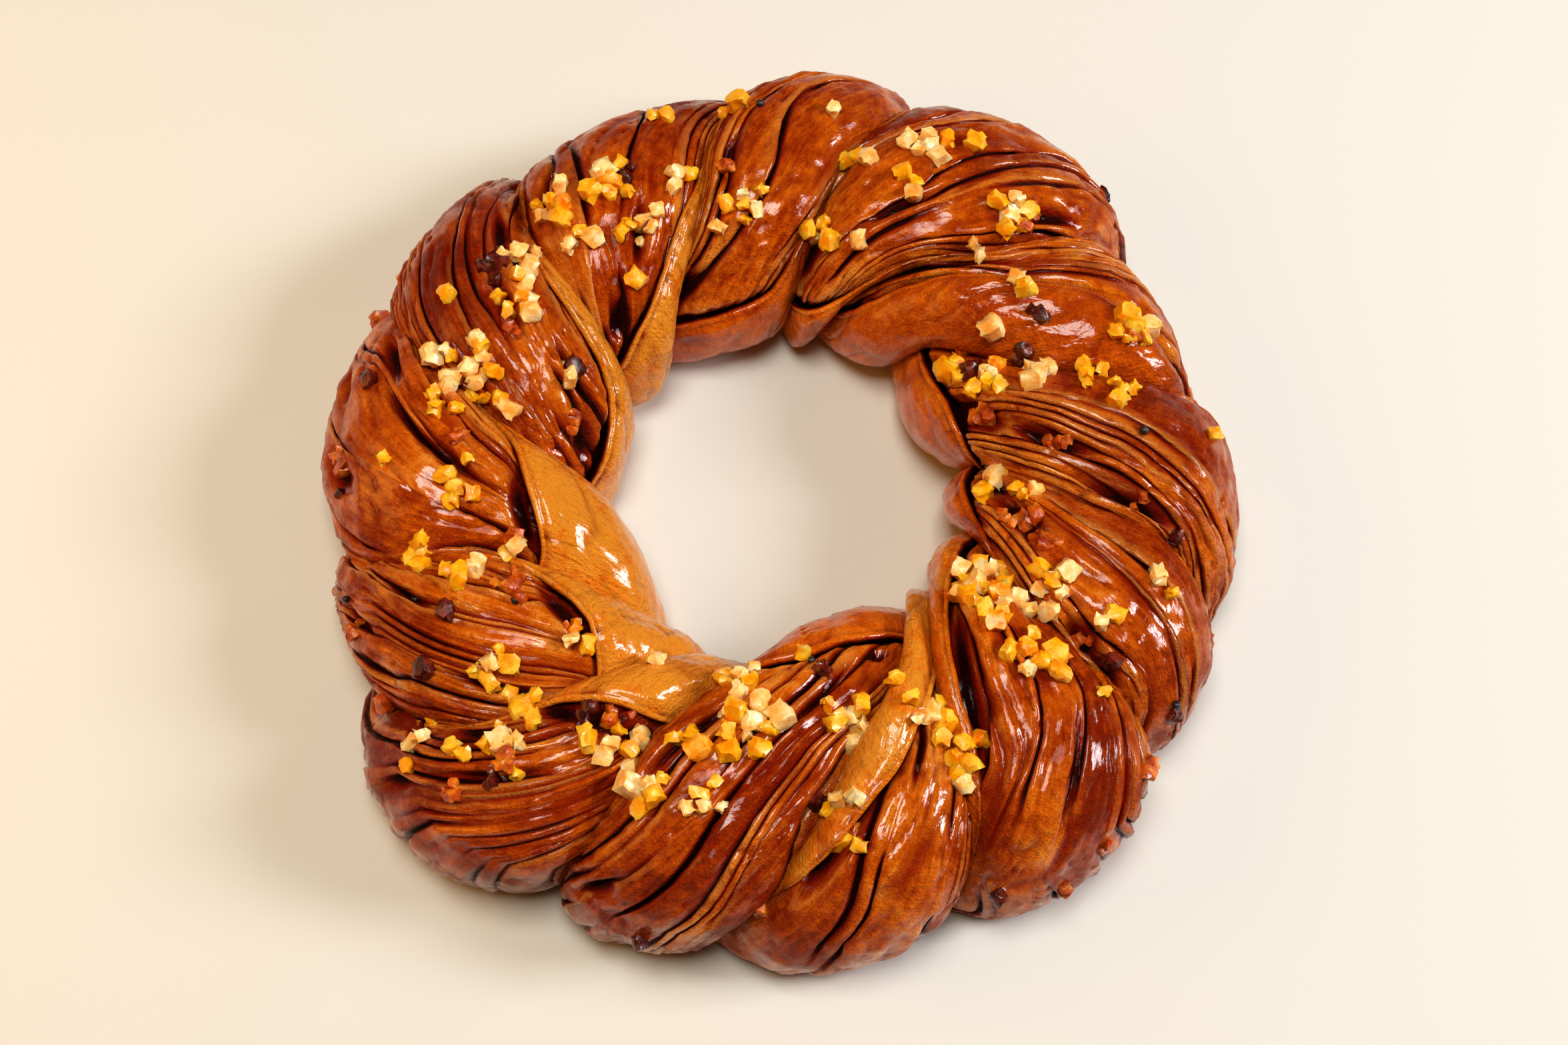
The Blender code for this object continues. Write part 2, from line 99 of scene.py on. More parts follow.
# The dough of each lobe, from its anticlockwise side (place 0) to its clockwise side (place 1):
# bundles, side by side, as width and number of sheets
# fan, the places between which the bundles lie, as degrees over the loaf, first edge, last edge
# skin, front edge of the smooth skin folded over the sheets from the hole, as place, degrees over the loaf
# openings, as degrees over the loaf, place, half length, half width and depth in mm
# tone of the skin and of the sheets, 0 dark to 1 light
dough = {
    "A": {
        "bundles": ((9, 3), (4, 1), (8, 4), (8, 1), (17, 1), (12, 5), (7, 2)),
        "fan": ((-64, -0.35, 1.0), (35, 0.0, 1.35), (70, 0.05, 1.5)),
        "skin": (
            (0, -85), (0.3, -76), (0.6, -68), (0.72, -62), (0.8, -45), (0.88, -26), (0.95, -10), (1, 5),
        ),
        "openings": ((-58, 0.17, 13, 2.0, 5), (-2, 0.3, 8, 0.9, 3.5)),
        "tone": (0.2, 0.5),
    },
    "B": {
        "bundles": ((12, 3), (5, 1), (13, 1), (7, 2), (8, 1), (16, 6), (6, 2)),
        "fan": ((-64, -0.35, 1.0), (35, 0.0, 1.35), (70, 0.05, 1.5)),
        "skin": (
            (0, -88), (0.3, -77), (0.6, -70), (0.75, -62), (0.85, -45), (0.88, -26), (0.9, -10),
            (0.91, 20), (0.92, 45), (0.95, 70), (1, 88),
        ),
        "openings": ((-45, 0.2, 16, 2.5, 5), (-12, 0.5, 7, 1.2, 4), (18, 0.78, 13, 2.4, 4.5)),
        "tone": (0.33, 0.42),
    },
    "C": {
        "bundles": ((10, 3), (3, 1), (10, 5), (10, 2), (12, 2), (12, 3), (10, 3)),
        "fan": ((-64, -0.3, 1.0), (35, 0.0, 1.3), (70, 0.1, 1.5)),
        "skin": (
            (0, -95), (0.2, -86), (0.3, -68), (0.33, -50), (0.36, -30), (0.42, -10), (0.55, 10),
            (0.75, 35), (0.9, 66), (1, 88),
        ),
        "openings": ((-30, 0.2, 26, 2.4, 6),),
        "tone": (0.25, 0.5),
    },
    "D": {
        "bundles": ((7, 2), (5, 1), (24, 1), (7, 2), (10, 3), (6, 2), (10, 3), (6, 2)),
        "fan": ((-64, -0.1, 1.0), (35, 0.0, 1.1), (70, 0.05, 1.25)),
        "skin": ((0, -84), (0.14, -76), (0.3, -68), (0.5, -63), (0.7, -61), (0.85, -66), (1, -76)),
        "openings": (
            (-52, 0.57, 12, 3.4, 7), (-50, 0.14, 12, 2.4, 5), (-20, 0.62, 13, 1.8, 5),
            (10, 0.8, 13, 2, 6),
        ),
        "tone": (0.33, 0.42),
    },
    "E": {
        "bundles": ((8, 3), (13, 1), (5, 2), (10, 1), (8, 3), (8, 2), (8, 4)),
        "fan": ((-64, -0.15, 1.0), (35, 0.0, 1.2), (70, 0.08, 1.4)),
        "skin": (
            (0, -86), (0.3, -75), (0.5, -66), (0.7, -56), (0.85, -42), (0.9, -26), (0.95, -10), (1, 5),
        ),
        "openings": (
            (10, 0.8, 6, 3.0, 8), (24, 0.84, 9, 1.8, 6), (-28, 0.5, 12, 3, 4), (-50, 0.35, 9, 2.2, 5),
        ),
        "tone": (0.3, 0.5),
    },
    "F": {
        "bundles": ((10, 3), (7, 1), (10, 1), (2, 1), (7, 1), (6, 3), (8, 1), (12, 4)),
        "fan": ((-64, -0.3, 1.0), (20, -0.04, 1.27), (50, 0.17, 1.5), (70, 0.3, 1.65)),
        "skin": (
            (0, -80), (0.3, -64), (0.6, -45), (0.72, -26), (0.76, -10), (0.8, 10), (0.87, 35),
            (0.92, 60), (1, 80),
        ),
        "openings": ((-8, 0.68, 22, 2.4, 8), (-5, 0.6, 12, 0.8, 3), (38, 0.5, 12, 1.0, 3)),
        "tone": (0.5, 0.45),
    },
    "G": {
        "bundles": ((8, 3), (9, 1), (3, 1), (14, 1), (5, 2), (9, 1), (15, 3)),
        "fan": ((-64, -0.4, 1.0), (10, 0.0, 1.3), (35, 0.1, 1.4), (70, 0.2, 1.55)),
        "skin": (
            (0, -62), (0.05, -50), (0.1, -40), (0.16, -26), (0.3, -12), (0.45, 0), (0.6, 11), (0.7, 22),
            (0.8, 36), (0.92, 60), (1, 80),
        ),
        "openings": ((33, 0.72, 14, 2.2, 5), (5, 0.4, 8, 1.0, 3)),
        "tone": (0.88, 0.5),
    },
    "H": {
        "bundles": ((8, 2), (6, 1), (4, 2), (7, 1), (6, 1), (7, 2), (6, 1), (7, 3), (6, 2)),
        "fan": ((-45, -0.25, 0.95), (35, 0.0, 1.2), (70, 0.1, 1.35)),
        "skin": ((0, -54), (0.2, -49), (0.45, -48), (0.6, -41), (0.75, -39), (1, -46)),
        "openings": (
            (62, 0.72, 7, 2.6, 6), (-36, 0.25, 2, 1.5, 4), (12, 0.22, 6, 1.5, 4),
            (-5, 0.72, 12, 1.2, 3.5), (-20, 0.42, 9, 0.9, 3),
        ),
        "tone": (0.3, 0.4),
    },
    "I": {
        "bundles": ((13, 2), (22, 8), (7, 1), (5, 2), (19, 6)),
        "fan": ((-10, -0.45, 0.85), (10, -0.35, 1.0), (28, -0.22, 1.13), (48, -0.08, 1.3), (62, 0.03, 1.4)),
        "skin": (
            (0, -30), (0.1, -16), (0.2, -11), (0.35, -8), (0.5, -6), (0.65, -3), (0.8, 1), (0.88, 8),
            (0.91, 20), (0.92, 35), (0.93, 50), (0.96, 70), (1, 86),
        ),
        "openings": (
            (-1, 0.28, 4, 4, 4.5), (1, 0.48, 4, 5, 5), (5, 0.68, 4, 4, 5), (30, 0.78, 8, 2, 4.5),
            (36, 0.58, 9, 1.2, 4), (66, 0.7, 7, 1.8, 4),
        ),
        "tone": (1.0, 0.32),
    },
    "J": {
        "bundles": ((14, 4), (8, 1), (6, 3), (7, 1), (2, 1), (8, 1), (6, 3), (8, 1), (13, 4)),
        "fan": (
            (-25, -0.5, 1.0), (-10, -0.4, 1.0), (3, -0.25, 1.15), (20, -0.08, 1.3), (40, 0.1, 1.5),
            (70, 0.2, 1.6),
        ),
        "skin": (
            (0, -10), (0.1, -10), (0.2, -14), (0.3, -20), (0.45, -26), (0.6, -27), (0.75, -22),
            (0.85, -14), (0.9, -5), (0.93, 8), (0.95, 18), (1, 34),
        ),
        "openings": (
            (-20, 0.5, 4, 7, 4), (12, 0.28, 8, 1.5, 4), (58, 0.62, 8, 2.5, 5), (24, 0.7, 7, 1.5, 4),
            (60, 0.45, 7, 2, 4),
        ),
        "tone": (0.92, 0.62),
    },
    "K": {
        "bundles": ((9, 2), (9, 1), (8, 1), (2, 1), (7, 1), (6, 2), (5, 1), (6, 3), (8, 2)),
        "fan": ((-30, 0.0, 0.85), (-10, 0.0, 1.0), (10, 0.0, 1.25), (35, 0.05, 1.45), (70, 0.1, 1.6)),
        "skin": (
            (0, -24), (0.15, -27), (0.3, -30), (0.42, -31), (0.55, -29), (0.7, -27), (0.8, -24),
            (0.87, -16), (0.92, -8), (0.95, 0), (1, 10),
        ),
        "openings": (
            (-24, 0.4, 4, 7, 4), (6, 0.56, 14, 1.5, 5), (32, 0.78, 9, 3, 6), (56, 0.62, 6, 3, 6),
            (50, 0.42, 8, 4, 4),
        ),
        "tone": (0.78, 0.5),
    },
    "L": {
        "bundles": ((10, 3), (7, 4), (10, 1), (8, 2), (5, 1), (7, 1), (18, 6)),
        "fan": ((-64, -0.35, 0.95), (-45, -0.3, 1.0), (35, 0.07, 1.4), (70, 0.12, 1.5)),
        "skin": (
            (0, -85), (0.1, -81), (0.3, -78), (0.5, -72), (0.65, -62), (0.72, -45), (0.77, -26),
            (0.8, -10), (0.88, 10), (0.95, 25), (1, 40),
        ),
        "openings": (
            (-60, 0.36, 9, 3, 6), (-40, 0.52, 10, 1.2, 4), (-5, 0.55, 7, 2, 3.5), (15, 0.72, 8, 1.4, 4),
        ),
        "tone": (0.82, 0.32),
    },
    "M": {
        "bundles": ((12, 4), (10, 2), (7, 1), (10, 1), (8, 4), (15, 4)),
        "fan": ((-64, -0.3, 1.0), (35, 0.0, 1.3), (70, 0.05, 1.4)),
        "skin": (
            (0, -90), (0.2, -76), (0.3, -65), (0.62, -45), (0.74, -26), (0.83, -10), (0.95, 10),
            (1, 25),
        ),
        "openings": ((-18, 0.55, 9, 1.4, 5), (-45, 0.3, 8, 1.5, 4), (20, 0.3, 8, 1.2, 4)),
        "tone": (0.85, 0.42),
    },
}

# How the sheets and the skin are shaped, in mm where not a share
sheets = {
    "bundleGroove": 4.4,  # depth between two bundles
    "sheetGroove": 2.3,  # depth between two sheets of a bundle
    "grooveChange": (0.65, 0.7, 0.05, 1.4),  # a groove's depth along the lobe: mean, change, least and most
    "deepest": (4.0, 8.0),  # from the first depth on grooves are eased, and none goes below the second
    # grooves are coloured darker with depth: partly syrup pooled in them, partly painted shade
    "deepShare": 0.8,  # a groove is at most this share of its sheet's width deep
    "fullShadeDepth": 1.9,  # a groove this deep is fully dark
    "bulge": 1.25,  # a sheet is this much wider over the lobe's back than between the seams
    "slope": (3.6, 0.6, 1.3),  # where a sheet comes out from under the one before: width, most share, power
    "shoulder": (1.2, 0.45, 2.6),  # where its front edge rounds off: width, most share, power
    "deepShoulder": 0.25,  # a deeper groove has a wider shoulder
    "lean": 0.5,  # how far a front edge hangs over, as a share of the groove's depth
    "raggedLip": (0.45, 3.0),  # how far a front edge wanders, and over what length
    "lipLine": (0.7, 0.6),  # middle and width of the pale line on it, as shares of the shoulder
    "waves": 0.32,  # how much the sheets' widths change along the lobe
    "widthSpread": 0.45,  # and from sheet to sheet
    "tintChange": (0.65, 0.5),  # how much the sheets' colours change from sheet to sheet and along one
    "lift": 0.5,  # how far a sheet rises and falls along the lobe
    "lumps": 0.7,  # unevenness of the dough
    "bumps": ((14.0, 0.9, 3), (6.0, 0.5, 5), (2.8, 0.4, 6), (1.5, 0.3, 7)),  # its lumps: size, share, seed
    "creases": (1.2, 16.0, 1.9, 5),  # long creases: depth, length, spacing and sharpness
    # painted shade in the long creases
    "creaseShade": 0.45,
    "levelOut": 12,  # power by which the relief fades at the lobe's clockwise edge
    "fanMm": 87.0,  # width of a whole fan of sheets on top of the loaf
    "outerShare": 0.4,  # width of the sheets before the first bundle, which only show on the outer wall
    "outerCount": 9,
    "split": 1.05,  # more sheets in every bundle than its number says
    "broadFrom": 5,  # a bundle of one sheet this wide gets the fine columns
    "seed": 11,
}

# The smooth skin, and the sheets beside it, in mm
skins = {
    "thick": (3.2, 0.15, 12.0),  # mean, how much it changes, and over what length
    "lift": 0.5,
    "round": (3.2, 1.1),  # over this width the skin rounds off to its edge, down by this
    "bends": (25, 50, 75, 100, 125, 150, 175),  # degrees round the edge
    "folds": (0.9, 26.0, 5.0, 6),  # depth, length, spacing and sharpness
    "wander": ((9.0, 1.3), (7.0, 0.008)),  # the edge wanders over a length, by degrees and by a share
    # painted shade on the skin: at its rounding, in its folds and under its edge, less where the edge's top
    # bends up into the light
    "paintedShade": (0.25, 0.3, 0.75, 0.2),  # rounding, folds and the edge's underside
    "tint": (0.8, 22.0),  # change in colour, over this length
    "pale": (0.35, 0.6),  # the edge's pale line: mean and change
    "smooth": 2500.0,  # the corners of the edge are rounded over this, divided by its length
    "groove": (4.6, 0.5),  # depth of the sheets under the skin, and what the edge adds
    "reach": (6.5, 1.2),  # the sheets come up over this distance from the edge, by this power
    # painted shadow on the sheets beside the skin's edge, in mm
    "shadow": 2.2,  # and are dark up to here
    "rowPower": 1.5,  # rows of points lie closer near the edge
    "back": (9, 0.8),  # rows of the slab's underside, and their power
}

# Mesh density of a lobe's sheets and of its skin
density = {
    "topRows": 118 if fullDetail else 90,
    "sideRows": 8,
    "topReach": 104.0,
    "underAngle": 150.0,
    "broadAt": (
        0, 0.02, 0.05, 0.09, 0.14, 0.2, 0.28, 0.36, 0.45,
        0.54, 0.63, 0.71, 0.78, 0.84, 0.89, 0.93, 0.96, 0.985,
    ),
    "thinAt": (0, 0.1, 0.26, 0.48, 0.68, 0.83, 0.94),
    "skinRows": 72 if fullDetail else 50,
    "skinColumnMm": 1.4 if fullDetail else 1.8,
    "edgeSamples": 320,
}


def stacked(*parts):  # arrays or numbers, spread to one shape and stacked as coordinates
    return np.stack(np.broadcast_arrays(*parts), -1)


def signedPower(value, power):
    return np.sign(value) * np.abs(value) ** power


def loafSection(over):  # radius and height of the loaf's surface there, and the way it faces
    a = np.radians(over)
    power = 2.0 / loaf["sectionPower"]
    across = loaf["halfWidth"]
    above, below = loaf["height"] - loaf["widestHeight"], loaf["widestHeight"] + loaf["baseOvershoot"]
    up = np.where(np.cos(a) >= 0, above, below)
    x = signedPower(np.sin(a), power)
    z = signedPower(np.cos(a), power)
    nx = signedPower(x, loaf["sectionPower"] - 1) / across
    nz = signedPower(z, loaf["sectionPower"] - 1) / up
    size = np.hypot(nx, nz)
    return loaf["ringRadius"] + across * x, loaf["widestHeight"] + up * z, nx / size, nz / size


def seamAngle(index, over):  # a smooth curve through the seam's stations
    turns, row = divmod(index, len(lobes["seams"]))
    at = np.array(lobes["stations"])
    value = np.array(lobes["seams"][row]) + 360.0 * turns
    slope = np.gradient(value, at)
    over = np.asarray(over, float)
    k = np.clip(np.searchsorted(at, over) - 1, 0, len(at) - 2)
    width = at[k + 1] - at[k]
    t = np.clip((over - at[k]) / width, 0, 1)
    curve = (
        (2 * t**3 - 3 * t**2 + 1) * value[k]
        + (t**3 - 2 * t**2 + t) * width * slope[k]
        + (3 * t**2 - 2 * t**3) * value[k + 1]
        + (t**3 - t**2) * width * slope[k + 1]
    )
    before = np.minimum(over - at[0], 0) * min(slope[0], lobes["holeTwist"])
    after = np.maximum(over - at[-1], 0) * slope[-1]
    return curve + before + after


def swell(row, over):
    atHole, onTop, atRim = lobes["swell"][row]
    side = np.clip(np.asarray(over, float) / lobes["swellReach"], -1, 1)
    rim = np.sin(np.maximum(side, 0) * math.pi / 2) ** 2
    hole = np.sin(np.maximum(-side, 0) * math.pi / 2) ** 2
    return onTop * (1 - rim - hole) + atRim * rim + atHole * hole


def lobeSpan(index, over):
    left = seamAngle(index - 1, over)
    right = seamAngle(index, over)
    return (left + right) / 2, (right - left) / 2


def lobeRise(index, over, across):
    power = np.where(across > 0, lobes["shoulderPower"], lobes["tuckedPower"])
    bulge = (1 - np.minimum(np.abs(across), 1) ** power) ** (1 / power)
    stands = lobes["sink"] + lobes["crown"] + swell(index % len(lobes["seams"]), over)
    return stands * bulge - lobes["sink"]


def loafPoint(over, turn, rise):
    radius, height, nr, nz = loafSection(over)
    r = radius + nr * rise
    t = np.radians(turn)
    x, y = loaf["middle"]
    return stacked(r * np.sin(t) + x, r * np.cos(t) + y, height + nz * rise)


def ringRise(over, turn):  # height of whichever lobe lies uppermost there
    rise = -lobes["sink"] + 0 * (over + turn)
    for index in range(-1, len(lobes["seams"]) + 1):
        middle, half = lobeSpan(index, over)
        across = (turn - middle) / (half * (1 + lobes["overlap"]))
        rise = np.where(np.abs(across) < 1, np.maximum(rise, lobeRise(index, over, across)), rise)
    return rise


def smoothField(points, size, seed):  # an even random field between about -1 and 1, size is one lump in mm
    cell = points / size
    low = np.floor(cell).astype(np.int64)
    part = cell - low
    part = part * part * (3 - 2 * part)
    total = np.zeros(points.shape[:-1])
    for corner in np.ndindex(2, 2, 2):
        at = low + np.array(corner)
        key = (at[..., 0] * 73856093) ^ (at[..., 1] * 19349663) ^ (at[..., 2] * 83492791)
        key = key ^ (seed * 2654435761)
        key = ((key ^ (key >> 13)) * 1274126177) & 0x7FFFFFFF
        key = ((key ^ (key >> 15)) * 668265263) & 0x7FFFFFFF
        weight = np.prod(np.where(np.array(corner) == 1, part, 1 - part), -1)
        total += (key / 0x3FFFFFFF - 1) * weight
    return total


def drift(rng, over, waves=(0.8, 1.9, 3.7)):  # slow random change along a lobe, about -1 to 1
    total = 0
    for wave in waves:
        total = total + np.sin(np.radians(over) * wave + rng.uniform(0, 2 * math.pi)) / len(waves) ** 0.5
    return total


def smoothStep(value):
    value = np.clip(value, 0, 1)
    return value * value * (3 - 2 * value)


def insideBox(points):  # keeps the last bit of relief inside the CAD box
    margin, reach = loaf["boxMargin"]
    low = np.array(cadBox[0]) / mm + margin
    high = np.array(cadBox[1]) / mm - margin
    over = points - (high - reach)
    points = np.where(over > 0, high - reach + reach * np.tanh(over / reach), points)
    under = (low + reach) - points
    squeezed = low + reach - reach * np.tanh(under / reach)
    points[..., :2] = np.where(under > 0, squeezed, points)[..., :2]
    return points


def addObject(name, data):
    made = bpy.data.objects.new(name, data)
    bpy.context.scene.collection.objects.link(made)
    return made


def meshPiece(name, points, faces):
    if faces:
        first, second, third = (points[[face[k] for face in faces]] for k in range(3))
        if (first * np.cross(second, third)).sum() < 0:  # faces point inwards
            faces = [tuple(reversed(face)) for face in faces]
    mesh = bpy.data.meshes.new(name)
    mesh.from_pydata((points * mm).tolist(), [], faces)
    mesh.update()
    mesh.shade_smooth()
    return addObject(name, mesh)


def gridFaces(count, around, wrap):  # rows of points in loops, closed by their ends or by wrapping round
    i = np.arange(count if wrap else count - 1)[:, None]
    k = np.arange(around)[None, :]
    j = (i + 1) % count
    m = (k + 1) % around
    faces = stacked(i * around + k, j * around + k, j * around + m, i * around + m).reshape(-1, 4).tolist()
    if not wrap:
        faces.append(tuple(range(around)))
        faces.append(tuple(reversed(range((count - 1) * around, count * around))))
    return faces


def addAttribute(piece, name, values):
    attribute = piece.data.attributes.new(name, "FLOAT", "POINT")
    attribute.data.foreach_set("value", np.asarray(values, np.float32).ravel())


def lobeWidth(index, over):  # in mm between its seams
    return lobeSpan(index, over)[1] * 2 * math.pi / 180 * loafSection(over)[0]


def lobeTurn(index, over, place):
    middle, half = lobeSpan(index, over)
    across = -np.cos(np.pi * np.clip(place, 0, 1))
    return middle + half * (1 + lobes["overlap"]) * across, across


def fanPlaces(index, over):  # places of the first and the last edge of the fan of sheets
    at, first, last = np.array(dough[lobeNames[index]]["fan"], float).T
    first, last = np.interp(over, at, first), np.interp(over, at, last)
    return first - sheets["outerShare"] * (last - first), last


def skinEdge(index, count=None):  # evenly spaced points of the skin's front edge: place and angle
    place, over = np.array(dough[lobeNames[index]]["skin"], float).T

    def evenly(place, over, count):
        steps = np.hypot(np.diff(over) * degreeMm, np.diff(place * lobeWidth(index, over)))
        at = np.concatenate([[0], np.cumsum(steps)])
        fine = np.linspace(0, at[-1], count)
        return np.interp(fine, at, place), np.interp(fine, at, over), at[-1]

    place, over, length = evenly(place, over, 500)
    window = np.hanning(2 * int(skins["smooth"] / length) + 3)
    window = window / window.sum()
    padded = (np.pad(x, len(window) // 2, mode="reflect", reflect_type="odd") for x in (place, over))
    place, over = (np.convolve(x, window, "valid") for x in padded)
    (wave, degrees), (placeWave, share) = skins["wander"]
    alongOver, alongPlace = (np.linspace(0, length / each, len(over)) for each in (wave, placeWave))
    over = over + degrees * smoothField(stacked(alongOver, index, 0.0), 1.0, 31)
    wander = smoothField(stacked(alongPlace, index, 9.0), 1.0, 33)
    place = np.maximum.accumulate(np.clip(place + share * wander, 0, 1))
    place[0], place[-1] = 0, 1
    return evenly(place, over, count or int(length / density["skinColumnMm"]))[:2]


def nearEdge(base, over, place, index):  # mm from the skin's edge, negative under the skin
    edgePlace, edgeOver = skinEdge(index, density["edgeSamples"])
    turn, across = lobeTurn(index, edgeOver, edgePlace)
    edge = loafPoint(edgeOver, turn, lobeRise(index, edgeOver, across)).astype(np.float32)
    flat = base.reshape(-1, 3).astype(np.float32)
    square = (flat**2).sum(1)[:, None] + (edge**2).sum(1)[None, :] - 2 * flat @ edge.T
    away = np.sqrt(np.maximum(square.min(1), 0)).reshape(base.shape[:-1])
    outside = over > np.interp(place, edgePlace, edgeOver)
    return np.where(outside, away, -away)


# the darkness given to the openings is painted shade
def openingField(index, over, place):  # depth and darkness of the openings between sheets
    depth, paintedShade = 0 * place, 0 * place
    first, last = fanPlaces(index, over)
    for at, where, halfLength, halfWidth, deep in dough[lobeNames[index]]["openings"]:
        start, end = fanPlaces(index, at)
        share = (where - start) / (end - start)
        u = (over - at) * degreeMm / halfLength
        v = (place - first - (last - first) * share) * lobeWidth(index, over) / halfWidth
        weight = np.exp(-((u * u + v * v) ** 1.6))
        depth = depth + deep * weight
        paintedShade = np.maximum(paintedShade, weight)
    return depth, paintedShade


def doughBumps(base):  # unevenness of the dough, about -1 to 1
    return sum(share * smoothField(base, size, seed) for size, share, seed in sheets["bumps"])


def ridges(field, sharpness):  # narrow lines where a random field is near zero
    return (1 - np.abs(field)) ** sharpness


def sheetColumns(index, over):  # where the edges of the sheets run, their grooves' depths and their tints
    rng = np.random.default_rng(sheets["seed"] + index)
    bundles = dough[lobeNames[index]]["bundles"]
    outer = (sheets["outerShare"] * sum(share for share, _ in bundles), sheets["outerCount"])
    widths, isFirst, broad = [], [], []
    for share, number in (outer,) + bundles:
        number = round(number * sheets["split"]) if number > 1 else 1
        parts = 1 + sheets["widthSpread"] * rng.uniform(-1, 1, number)
        widths.extend(share * parts / parts.sum())
        isFirst.extend([True] + [False] * (number - 1))
        broad.extend([number == 1 and share >= sheets["broadFrom"]] * number)
    count = len(widths)
    wave = np.stack([drift(rng, over) for _ in range(count)], -1)
    widths = np.array(widths) * np.exp(sheets["waves"] * wave)
    edges = np.concatenate([np.zeros((len(over), 1)), np.cumsum(widths, 1)], 1)
    first, last = fanPlaces(index, over)
    edges = np.clip(first[:, None] + (last - first)[:, None] * edges / edges[:, -1:], 0, 1)
    edges[:, 0], edges[:, -1] = 0, 1
    mean, change, least, most = sheets["grooveChange"]
    depths = np.zeros((len(over), count + 1))
    for k in range(count):
        depth = sheets["bundleGroove"] if isFirst[k] else sheets["sheetGroove"]
        depths[:, k] = depth * np.clip(mean + change * drift(rng, over, (1.3, 3.1, 5.3)), least, most)
    depths[:, 0] = 0
    lift = np.stack([drift(rng, over) for _ in range(count)], -1) * sheets["lift"]
    between, along = sheets["tintChange"]
    tint = [between * rng.uniform(-1, 1) + along * drift(rng, over, (1.1, 2.7)) for _ in range(count)]
    return edges, depths, lift, np.stack(tint, -1), broad


# the groove value is the groove's darkness, partly syrup and partly painted shade
def sheetProfile(index, over):  # each column's place, relief, sideways lean, groove, tint and pale lip
    edges, depths, lift, tint, broad = sheetColumns(index, over)
    widths = np.diff(edges, axis=1) * lobeWidth(index, over)[:, None]
    rng = np.random.default_rng(sheets["seed"] * 7 + index)
    ragged, raggedMm = sheets["raggedLip"]
    slopeMm, slopeShare, slopePower = sheets["slope"]
    shoulderMm, shoulderShare, shoulderPower = sheets["shoulder"]
    lineAt, lineWidth = sheets["lipLine"]
    columns = []
    for k, isBroad in enumerate(broad):
        at = density["broadAt"] if isBroad else density["thinAt"]
        if k == len(broad) - 1:
            at = at + (1.0,)
        wide = np.maximum(widths[:, k] * sheets["bulge"], 0.01)
        before, after = (np.minimum(depths[:, j], wide * sheets["deepShare"]) for j in (k, k + 1))
        if k:
            before = np.minimum(before, np.maximum(widths[:, k - 1], 0.01))
        if k < len(broad) - 1:
            after = np.minimum(after, np.maximum(widths[:, k + 1], 0.01))
        wander = smoothField(stacked(over * degreeMm / raggedMm, 5.7 * k, 3.1 * index), 1.0, 21)
        pale = np.clip(rng.uniform(-0.8, 1.0) + 0.7 * drift(rng, over, (1.5, 3.3)), 0, 1)
        slope = np.minimum(slopeMm, wide * slopeShare)
        shoulder = np.minimum(shoulderMm + sheets["deepShoulder"] * after, wide * shoulderShare)
        lean = sheets["lean"] * after + ragged * wander * np.minimum(after, 1)
        for t in at:
            fromRight = (1 - t) * wide
            leftDip = (1 - smoothStep(t * wide / slope)) ** slopePower
            rightDip = (1 - np.minimum(fromRight / shoulder, 1)) ** shoulderPower
            dip = before * leftDip + after * rightDip
            hang = 4 * t * max(0.0, t - 0.5) * np.minimum(fromRight / shoulder * 2, 1)
            line = (fromRight - lineAt * shoulder) / (lineWidth * shoulder)
            columns.append((
                edges[:, k] + t * (edges[:, k + 1] - edges[:, k]),
                -dip + lift[:, k] * (1 - leftDip) * (1 - rightDip),
                lean * hang,
                # darker with depth: syrup and painted shade
                np.clip(dip / sheets["fullShadeDepth"], 0, 1),
                tint[:, k],
                np.exp(-(line**2)) * pale,
            ))
    return (np.stack(values, -1) for values in zip(*columns))


def finishCrust(name, points, attributes, flat):  # closed mesh, and a UV that runs along the sheets
    piece = meshPiece(name, insideBox(points).reshape(-1, 3), gridFaces(*points.shape[:2], False))
    for label, values in attributes.items():
        addAttribute(piece, label, values)
    layer = piece.data.uv_layers.new(name="along")
    corner = np.empty(len(piece.data.loops), np.int32)
    piece.data.loops.foreach_get("vertex_index", corner)
    layer.data.foreach_set("uv", (flat.reshape(-1, 2) * mm)[corner].astype(np.float32).ravel())
    return piece


